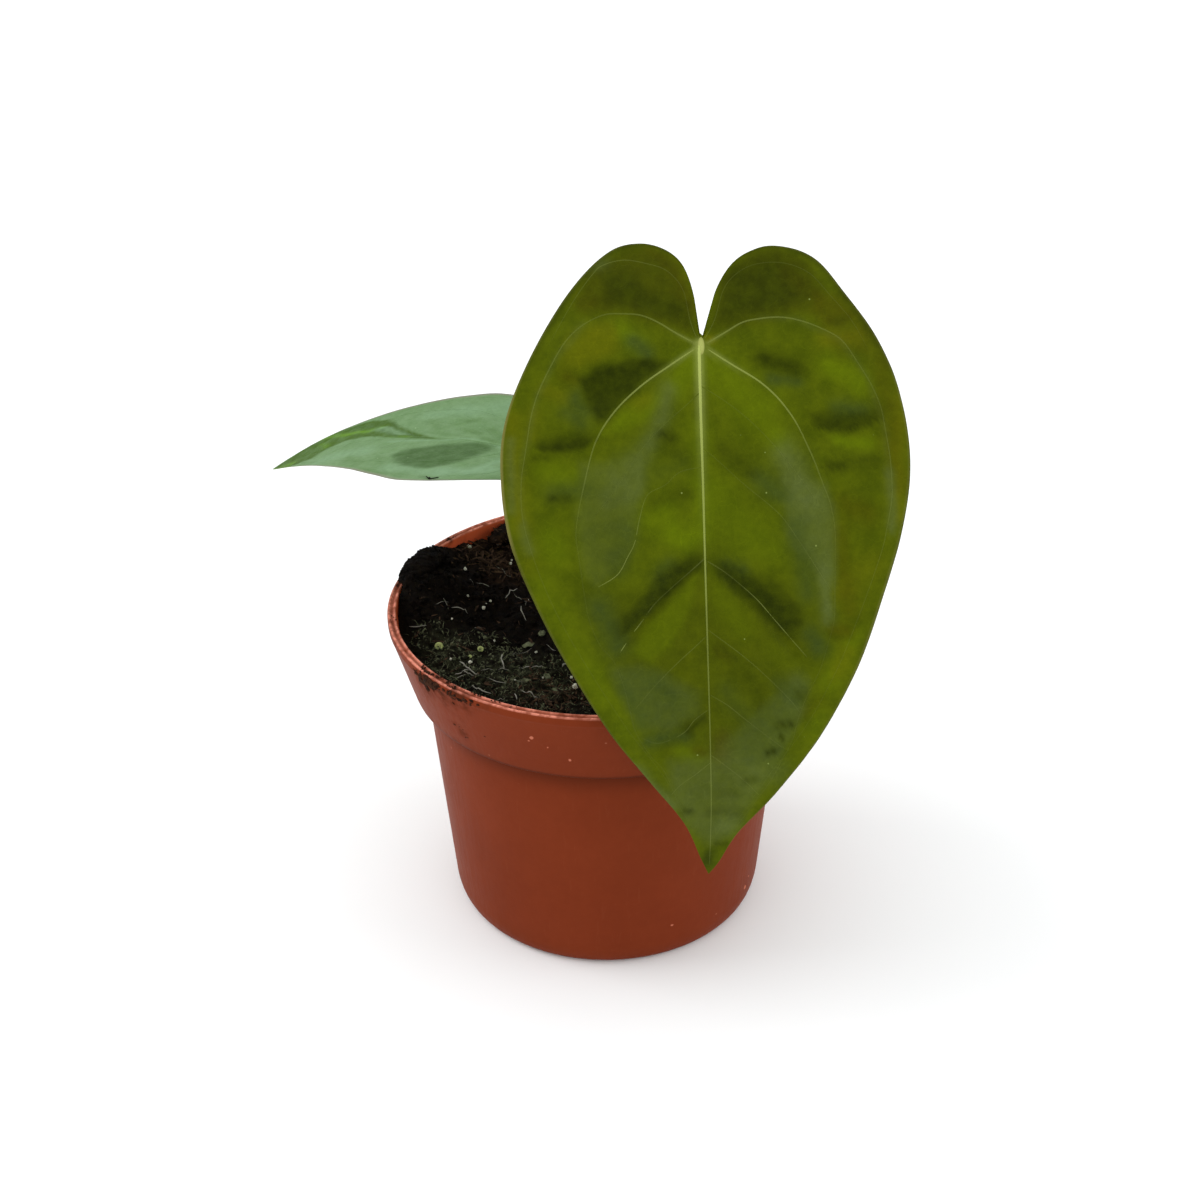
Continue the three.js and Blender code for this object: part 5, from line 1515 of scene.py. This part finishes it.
def stem_shape():
    """The stump: its profile turned about the upright, with scar rings pressed in and bulges round its
    sides."""
    radius, bottom, top = STEM["radius"], STEM["bottom"], STEM["top"]
    corners = [(0, bottom), (radius * 0.75, bottom), (radius, bottom + 3), (radius, top - 6),
               (radius * 0.97, top - 3.5), (radius * 0.72, top - 1.2), (0, top)]
    shape = lathe(fine_steps(eased(corners, 0.8), 0.5), 64)
    x, y, z = shape.points.T
    angle = np.arctan2(y, x)
    slant = z + 0.9 * np.sin(angle + z * 0.4)
    scar = sum(fading(slant - (top - depth), 0.35) for depth in SCAR_DEPTHS)
    swell = 1 - 0.07 * scar + 0.05 * layered_grain(2 * np.cos(angle), 2 * np.sin(angle), z / 4, seed=14)
    shape.points = np.stack([x * swell + STEM["x"], y * swell + STEM["y"], z], -1)
    shape.marks = dict(scar=np.clip(scar, 0, 1))
    return closed(shape)


def root_shape(degrees, start_height, reach, radius):
    """A short thick root that leaves the stem's foot, bends down and goes into the soil."""
    angle, t = math.radians(degrees) + 0.3, np.linspace(0, 1, 14)
    distance = STEM["radius"] * 0.7 + reach * t
    x, y = STEM["x"] + distance * math.cos(angle), STEM["y"] + distance * math.sin(angle)
    z = start_height + 0.8 * np.sin(np.pi * t) - (start_height - ROOT_END) * t**1.6
    return rod(np.stack([x, y, z], -1), radius * (1 - 0.35 * t), sides=10, scar=0.25 * t)


stump = joined([stem_shape(), *[root_shape(*numbers) for numbers in ROOTS]])
make_piece("stem_stump", stump, [stem_bark], ["stem"])


def midrib_frame(leaf, along):
    """The midrib bends at a constant rate in an upright plane: its dip is the first dip plus bend times
    along. Gives its point, the direction across the blade and the direction out of its upper face, rolled
    about the midrib."""
    heading, first, last = (math.radians(angle) for angle in (leaf["heading"], *leaf["dips"]))
    along = np.asarray(along, float)
    bend = (last - first) / leaf["length"]
    dip = (first + bend * along)[..., None]
    out = np.array([-math.sin(heading), -math.cos(heading), 0])
    side = np.array([math.cos(heading), -math.sin(heading), 0])
    up = np.array([0, 0, 1])
    forwards = out * (np.sin(dip) - math.sin(first)) / bend
    upwards = up * (np.cos(dip) - math.cos(first)) / bend
    flat_normal = out * np.sin(dip) + up * np.cos(dip)
    roll = np.radians(leaf["roll"] + leaf["twist"] * along / leaf["length"])[..., None]
    across = side * np.cos(roll) + flat_normal * np.sin(roll)
    normal = flat_normal * np.cos(roll) - side * np.sin(roll)
    return np.array(leaf["attach"]) + forwards + upwards, across, normal


def petiole_path(leaf, count):
    """The stalk's curve, a cubic with four control points: from the stem's top, leaning out to its leaf's
    side, to just under the blade's first point. The last stretch heads along end_lean."""
    point, _, normal = midrib_frame(leaf, 0.9)
    size, outwards = leaf["size"], np.array([math.cos(leaf["turn"]), math.sin(leaf["turn"]), 0])
    start = np.array([STEM["x"], STEM["y"], PETIOLE["bottom"]]) + outwards * size * PETIOLE["offset"]
    end = point - normal * (BLADE["thickness"] + BLADE["keel"] + 0.3 + 0.8 * size * PETIOLE["radius"])
    reach = np.linalg.norm(end - start) / 3
    first = start + unit(outwards * leaf["lean"] + np.array([0, 0, 1])) * reach
    second = end - unit(np.array(leaf["end_lean"])) * reach
    t = np.linspace(0, 1, count)[:, None]
    return (1 - t) ** 3 * start + 3 * t * (1 - t) ** 2 * first + 3 * t**2 * (1 - t) * second + t**3 * end


def petiole_shape(leaf):
    """The stalk: a rod, wider where it sheathes the stem and at the knee, that bends over at the top into
    the blade's underside."""
    path = petiole_path(leaf, 110)
    point, _, normal = midrib_frame(leaf, 1.6)
    neck = point - normal * (leaf["sheet"] + 0.1)
    bend = np.linspace(0, 1, 10)[1:, None]
    path = np.concatenate([path, path[-1] * (1 - bend) + neck * bend])
    walked = np.r_[0, np.cumsum(np.linalg.norm(np.diff(path, axis=0), axis=1))]
    sheath = fading(walked, PETIOLE["sheath_length"])
    knee = fading(walked[-1] - PETIOLE["knee_place"] - walked, PETIOLE["knee_length"])
    swell = 1 + PETIOLE["sheath_swell"] * sheath + PETIOLE["knee_swell"] * knee
    radius = leaf["size"] * PETIOLE["radius"] * swell * (1 + 0.02 * grain(walked / 5, 0.5, seed=4))
    sideways = (math.sin(leaf["turn"]), -math.cos(leaf["turn"]), 0)
    marks = dict(knee=np.clip(knee, 0, 1) ** 0.7, sheath=np.clip(sheath * 1.1 - 0.1, 0, 1))
    return rod(path, radius, sides=20, upright=sideways, **marks)


def cataphyll_shape(leaf, rows=60, columns=28):
    """The dry scale leaf: a curved sheet round the stem that narrows as the root of (1 - t), leans out with
    its stalk, is wrinkled by noise and frays at its tip. Both faces share their border, so it is closed."""
    t, c = np.linspace(0, 1, rows + 1)[:, None], np.linspace(-1, 1, columns + 1)[None, :]
    height = CATAPHYLL["height"] * leaf["size"]
    border = 1 - np.maximum(np.abs(c), np.maximum(0, 2 * t - 1)) ** 8
    curl_in = 0.9 * t**3 * c**2 * leaf["size"]
    wrinkle = 0.22 * layered_grain(c * 5 + 3, t * 1.4, seed=51) + 0.1 * grain(c * 12, t * 3, seed=52)
    leaning = CATAPHYLL["radius"] + CATAPHYLL["gap"] + leaf["lean"] * height * t + CATAPHYLL["flare"] * t**2
    middle = leaning + (wrinkle - curl_in) * np.sin(np.pi * np.clip(t * 4, 0, 0.5))
    angle = leaf["turn"] + CATAPHYLL["half_angle"] * np.sqrt(1 - t) * c
    edge = np.clip(np.maximum(np.abs(c) ** 6, smooth_step(t, 0.75, 1.0)), 0, 1)
    cells = grid_faces(rows + 1, columns + 1)
    shapes = []
    for side, faces in ((0.5, cells), (-0.5, cells[:, ::-1])):
        radius = middle + side * CATAPHYLL["thickness"] * np.sqrt(border * np.clip(t * 30, 0, 1))
        x, y = STEM["x"] + radius * np.cos(angle), STEM["y"] + radius * np.sin(angle)
        points = np.stack(np.broadcast_arrays(x, y, CATAPHYLL["bottom"] + height * t), -1)
        shapes.append(Shape(points, faces, edge=edge))
    return closed(joined(shapes))


# Blades.

# The paler skin beside a main vein: its width, its strength, and how far from the petiole it reaches.
VEIN_GLOWS = {"midrib": (1.0, 0.62, 26), "inner_a": (0.7, 0.4, 10), "inner_b": (0.7, 0.4, 10),
              "outer_a": (0.5, 0.3, 6), "outer_b": (0.5, 0.3, 6)}
# A forked scrap of litter on the smaller leaf: three rods by their places across and along.
TWIG = [([28.2, 29.1, 29.6], [14.2, 13.2, 12]), ([30, 29.4, 28.2], [12.8, 11.6, 10.2]),
        ([28.8, 29.2, 29.6], [12.8, 12.4, 12.2])]


def half_width(leaf, across, along):
    """How wide the blade is at a place's along, on the place's side of the midrib, from its widest
    outline."""
    widths = []
    for side in ("side_a", "side_b"):
        margin = through(leaf[side], np.linspace(0, 1, 200))
        first = int(np.argmin(margin[:, 1]))
        widths.append(np.interp(along, margin[first:, 1], np.abs(margin[first:, 0])))
    return np.where(across < 0, *widths)


def quilting(leaf, across, along):
    """Valleys along the side veins. A vein's place counts from the midrib along its slant and bend. The
    valley falls gently on the petiole's side and rises steeply towards the tip, and it fades at the midrib
    and the outer field."""
    reach = np.abs(across)
    origin = along - BLADE["vein_slope"] * reach - BLADE["vein_bend"] * across**2
    depth = 0.0
    for vein, deep in leaf["valleys"]:
        depth = depth + deep * fading(origin - vein, np.where(origin < vein, 4.6, 2.2) * leaf["reach"] / 50)
    out = reach / np.maximum(half_width(leaf, across, along), 0.5)
    inner = smooth_step(reach, 0.02 * leaf["reach"], 0.16 * leaf["reach"])
    dents = 0.0
    for *dent, deep in leaf["dents"]:
        dents = dents + deep * brushed(across, along, [(*dent, 1.0)])
    fine = 0.24 * grain(across / 3, along / 3, seed=62)
    soft = layered_grain(across / 14 + 7, along / 14, seed=61, layers=2) + fine
    valleys = -depth * inner * (1 - smooth_step(out, 0.46, 0.76))
    return valleys - dents + leaf["unevenness"] * soft * smooth_step(reach, 0, 5)


def blade_point(leaf, across, along, lift=0.0):
    """A point of the blade: the midrib's point, across, and a height of fold x (root of (across^2 + r^2) -
    r), less droop x across^2, plus quilting, a ruffle that grows to the margin, and lift."""
    point, sideways, normal = midrib_frame(leaf, along)
    rise = np.hypot(across, leaf["fold_radius"]) - leaf["fold_radius"]
    folded = leaf["fold"] * rise - leaf["droop"] * across**2
    near_margin = smooth_step(np.abs(across), 0.5 * leaf["reach"], leaf["reach"])
    ruffle = leaf["ruffle"] * near_margin * np.sin(along / leaf["length"] * 21 + np.sign(across))
    height = folded + quilting(leaf, across, along) + ruffle + lift
    return point + sideways * np.asarray(across)[..., None] + normal * height[..., None]


def blade_places(leaf, rows, columns):
    """Places on the blade in rows from one margin over the midrib to the other. The back lobes' rows start
    at the petiole, and further on they start along the midrib and slant to the tip. Also each place's share
    of the way to the margin, and the row's share of the way to the tip."""
    s = np.linspace(0, 1, rows + 1)
    margin_a, margin_b = (through(leaf[side], s) for side in ("side_a", "side_b"))
    reach = (margin_b[:, 0] - margin_a[:, 0]) / 2
    spine = np.maximum(0, (margin_a[:, 1] + margin_b[:, 1]) / 2 - BLADE["row_slant"] * reach)[:, None]
    share = np.linspace(1, 0, columns + 1)
    share = np.r_[share, share[::-1][1:]][None, :]
    on_side_a = (np.arange(2 * columns + 1) < columns)[None, :, None]
    margin = np.where(on_side_a, margin_a[:, None], margin_b[:, None])
    across, along = share * margin[..., 0], spine + share * (margin[..., 1] - spine)
    return across, along, share + 0 * spine, s[:, None] + 0 * share


def fitted_vein(leaf, name, count):
    """A vein's path on a leaf: traced on the large leaf, shortened to this one, and moved in or out so that
    it keeps its share of the way to the margin."""
    across, along = through(VEINS[name][0], np.linspace(0, 1, count)).T
    share = np.clip(across / half_width(FRONT_LEAF, across, along), -0.92, 0.92)
    along = along * leaf["length"] / FRONT_LEAF["length"]
    return share * half_width(leaf, across, along), along


def vein_glow(leaf, across, along):
    """The paler skin beside the main veins: a soft line along each, which fades from the petiole
    outwards."""
    left = np.ones_like(across)
    for name, (width, strength, length) in VEIN_GLOWS.items():
        path = np.stack(fitted_vein(leaf, name, 24), -1)
        near = fading(np.hypot(across, along), length * leaf["length"] / FRONT_LEAF["length"])
        line = lined(across, along, path, width, width)
        left = left * (1 - strength * leaf["vein_strength"] * near * line)
    return 1 - left


def leaf_marks(tints, across, along, **marks):
    """The tints at places of a blade, with the places themselves and further marks."""
    return {**{name: painted(across, along, tint) for name, tint in tints.items()},
            "across": across, "along": along, **marks}


def blade_sheet(leaf, tints, rows, columns):
    """The blade's two faces, which meet along the rounded margin: the sheet's thickness falls off as the
    root of (1 - share^16) to the margin, and the same to the tip."""
    across, along, share, s = blade_places(leaf, rows, columns)
    thickness = leaf["sheet"] * np.sqrt(np.clip(1 - share**16, 0, 1)) * np.sqrt(np.clip(1 - s**60, 0, 1))
    wander_x, wander_y = (
        0.55 * layered_grain(across / 7, along / 7, seed=seed, layers=3) for seed in (71, 72))
    marks = leaf_marks(tints, across + wander_x, along + wander_y)
    margin_shade = smooth_step(share, 0.93, 1.0) * (1 - smooth_step(along, -4, 14)) * 0.6
    sunny = 0.2 + 0.7 * brushed(across, along, leaf["pale_margin"])
    marks.update(across=across, along=along, vein=vein_glow(leaf, across, along),
                 shade=np.maximum(marks["shade"], margin_shade),
                 margin=smooth_step(share, 1 - leaf["margin_width"], 1.0) * sunny)
    cells = grid_faces(rows + 1, 2 * columns + 1)
    upper = Shape(blade_point(leaf, across, along), cells, 0, **marks)
    lower = Shape(blade_point(leaf, across, along, -thickness), cells[:, ::-1], 1, **marks)
    return closed(joined([upper, lower]))


def rib_rod(path, width, height, highest, normal, finish_number, marks, sides=8):
    """A rod with its own upright at each step: ring points are side x width x cos and upright x height x
    width x sin, and none rises more than the highest above the path."""
    ahead = unit(np.gradient(path, axis=0))
    side = unit(np.cross(normal, ahead))
    turn = round_angles(sides)
    width = width.copy()
    width[[0, -1]] = 0
    raised = np.minimum(width[:, None] * height * np.sin(turn), highest)
    ring = side[:, None] * (width[:, None] * np.cos(turn))[..., None] + normal[:, None] * raised[..., None]
    spread = {name: np.repeat(values, sides) for name, values in marks.items()}
    return closed(round_grid(path[:, None] + ring, finish_number, **spread))


def upper_rib(leaf, tints, name):
    """A vein on the upper face: a low lens-shaped rod along its path, square to the quilted skin."""
    path, widths, pale = VEINS[name]
    t = np.linspace(0, 1, 8 * len(path))
    across, along = fitted_vein(leaf, name, len(t))
    step = 0.05
    centre, onwards, sideways = (
        blade_point(leaf, across + right, along + ahead) for right, ahead in ((0, 0), (0, step), (step, 0)))
    normal = unit(np.cross(onwards - centre, sideways - centre))
    shown = spread_values(pale, t) * leaf["vein_strength"]
    marks = leaf_marks(tints, across, along, vein=shown, margin=0 * t)
    return rib_rod(centre, rib_width(widths, t), 0.32, 1.0, normal, 0, marks)


def lower_rib(leaf, tints, name):
    """A vein on the underside: a stouter rod along its path."""
    path, widths, pale = VEINS[name]
    t = np.linspace(0, 1, 8 * len(path))
    across, along = fitted_vein(leaf, name, len(t))
    stout, height = (2.6, 1.15) if name == "midrib" else (1.8, 0.8)
    width = rib_width(widths, t) * leaf["size"] * stout
    shown = np.clip(spread_values(pale, t) + 0.35, 0, 0.9)
    marks = leaf_marks(tints, across, along, vein=shown, margin=0 * t)
    centre, normal = blade_point(leaf, across, along, -leaf["sheet"]), midrib_frame(leaf, along)[2]
    return rib_rod(centre, width, height, 0.4 * leaf["sheet"], normal, 1, marks)


def rib_width(widths, t):
    """A vein's half width at each share of its length, narrowed at both ends."""
    return spread_values(widths, t) * np.clip(np.minimum(t * 30, (1 - t) * 12), 0, 1) ** 0.5


def vein_meeting(leaf, tints):
    """The pale low swelling where the main veins meet over the petiole: a ball, flattened on to the
    blade."""
    polar, angle = np.linspace(0, np.pi, 13)[:, None], round_angles(24)
    across = 0.9 * leaf["size"] * np.sin(polar) * np.cos(angle)
    along = 1.2 + 2.4 * leaf["size"] * np.sin(polar) * np.sin(angle)
    pale = 0.95 - 0.8 * np.sin(polar) ** 4 + 0 * angle
    points = blade_point(leaf, across, along, 0.1 * np.cos(polar) - 0.04)
    return closed(round_grid(points, **leaf_marks(tints, across, along, vein=0.8 * pale, margin=pale)))


def margin_twig(leaf):
    """A forked scrap of dark litter caught on a margin: three fine rods that meet a little above the
    blade."""
    rods, steps = [], np.linspace(0, 2, 9)
    for across, along in np.array(TWIG):
        path = blade_point(leaf, across, along, 0.25)
        path = np.stack([np.interp(steps, range(3), axis) for axis in path.T], -1)
        rods.append(rod(path, 0.13, sides=6, tone=0.0))
    return joined(rods)


def make_leaf(name, leaf, tints, rows, columns, upper_finish):
    """One leaf: its blade with the raised veins, its stalk and its scale leaf."""
    below = MAIN_VEINS + ("strong_a", "strong_b", "upper_a", "upper_b")
    ribs = [upper_rib(leaf, tints, vein) for vein in VEINS]
    ribs += [lower_rib(leaf, tints, vein) for vein in below]
    blade = joined([blade_sheet(leaf, tints, rows, columns), *ribs, vein_meeting(leaf, tints)])
    make_piece(f"{name}_velvet_blade", blade, [upper_finish, blade_underside],
               [f"{name}_blade"], place=("across", "along"))
    make_piece(f"{name}_stalk", petiole_shape(leaf), [petiole_skin], [f"{name}_petiole"])
    make_piece(f"{name}_scale_leaf", cataphyll_shape(leaf), [dry_scale_leaf],
               [f"{name}_cataphyll"])


make_leaf("front", FRONT_LEAF, FRONT_TINTS, 236, 60, olive_velvet)
make_leaf("left", LEFT_LEAF, LEFT_TINTS, 170, 44, grey_green_velvet)
make_piece("scrap_on_leaf", margin_twig(LEFT_LEAF), [dark_peat])


# Floor, light and camera, in metres.

FLOOR = dict(half_width=6.0, drop=0.0002, colour=(0.965, 0.985, 0.99, 1))
CAMERA = dict(place=(0, -0.432845, 0.341570), aim=(-0.00123, 0, 0.09292), roll=-0.627, lens=54, sensor=36,
              near=0.01)
MIDDLE = (0, 0, 0.08)


def make_floor():
    """A plain pale floor, far wider than the view, just under the pot."""
    half, level = FLOOR["half_width"], -FLOOR["drop"]
    corners = [(-half, -half, level), (half, -half, level), (half, half, level), (-half, half, level)]
    mesh = bpy.data.meshes.new("pale_floor")
    mesh.from_pydata(corners, [], [(0, 1, 2, 3)])
    floor = bpy.data.objects.new("pale_floor", mesh)
    bpy.context.scene.collection.objects.link(floor)
    material = bpy.data.materials.new("pale_floor")
    material.use_nodes = True
    shader = material.node_tree.nodes["Principled BSDF"]
    shader.inputs["Base Color"].default_value = FLOOR["colour"]
    shader.inputs["Roughness"].default_value = 1.0
    shader.inputs["Specular IOR Level"].default_value = 0.0
    mesh.materials.append(material)


def make_light(name, place, size, power):
    """A square soft white light, turned towards the plant's middle."""
    light = bpy.data.lights.new(name, "AREA")
    light.size, light.energy = size, power
    lamp = bpy.data.objects.new(name, light)
    lamp.location = place
    lamp.rotation_euler = (Vector(MIDDLE) - Vector(place)).to_track_quat("-Z", "Y").to_euler()
    bpy.context.scene.collection.objects.link(lamp)


def make_camera():
    """The photograph's viewpoint: a camera turned down to its aim, then rolled a little."""
    data = bpy.data.cameras.new("view")
    data.lens, data.sensor_width, data.clip_start = CAMERA["lens"], CAMERA["sensor"], CAMERA["near"]
    camera = bpy.data.objects.new("view", data)
    ahead = Vector(CAMERA["aim"]) - Vector(CAMERA["place"])
    rolled = Matrix.Rotation(math.radians(CAMERA["roll"]), 3, "Z")
    camera.rotation_mode = "QUATERNION"
    camera.rotation_quaternion = (ahead.to_track_quat("-Z", "Y").to_matrix() @ rolled).to_quaternion()
    camera.location = CAMERA["place"]
    bpy.context.scene.collection.objects.link(camera)
    bpy.context.scene.camera = camera


def make_surroundings(strength):
    """White light of one strength from all sides."""
    world = bpy.data.worlds.new("soft_white_room")
    world.use_nodes = True
    background = world.node_tree.nodes["Background"]
    background.inputs["Color"].default_value = (1, 1, 1, 1)
    background.inputs["Strength"].default_value = strength
    bpy.context.scene.world = world


make_floor()
make_light("window", (-1.2, 0.1, 1.1), 0.9, 8)
make_light("reflector", (1.2, -0.1, 0.3), 0.8, 4)
make_surroundings(1.05)
make_camera()
bpy.context.scene.view_settings.view_transform = "Standard"
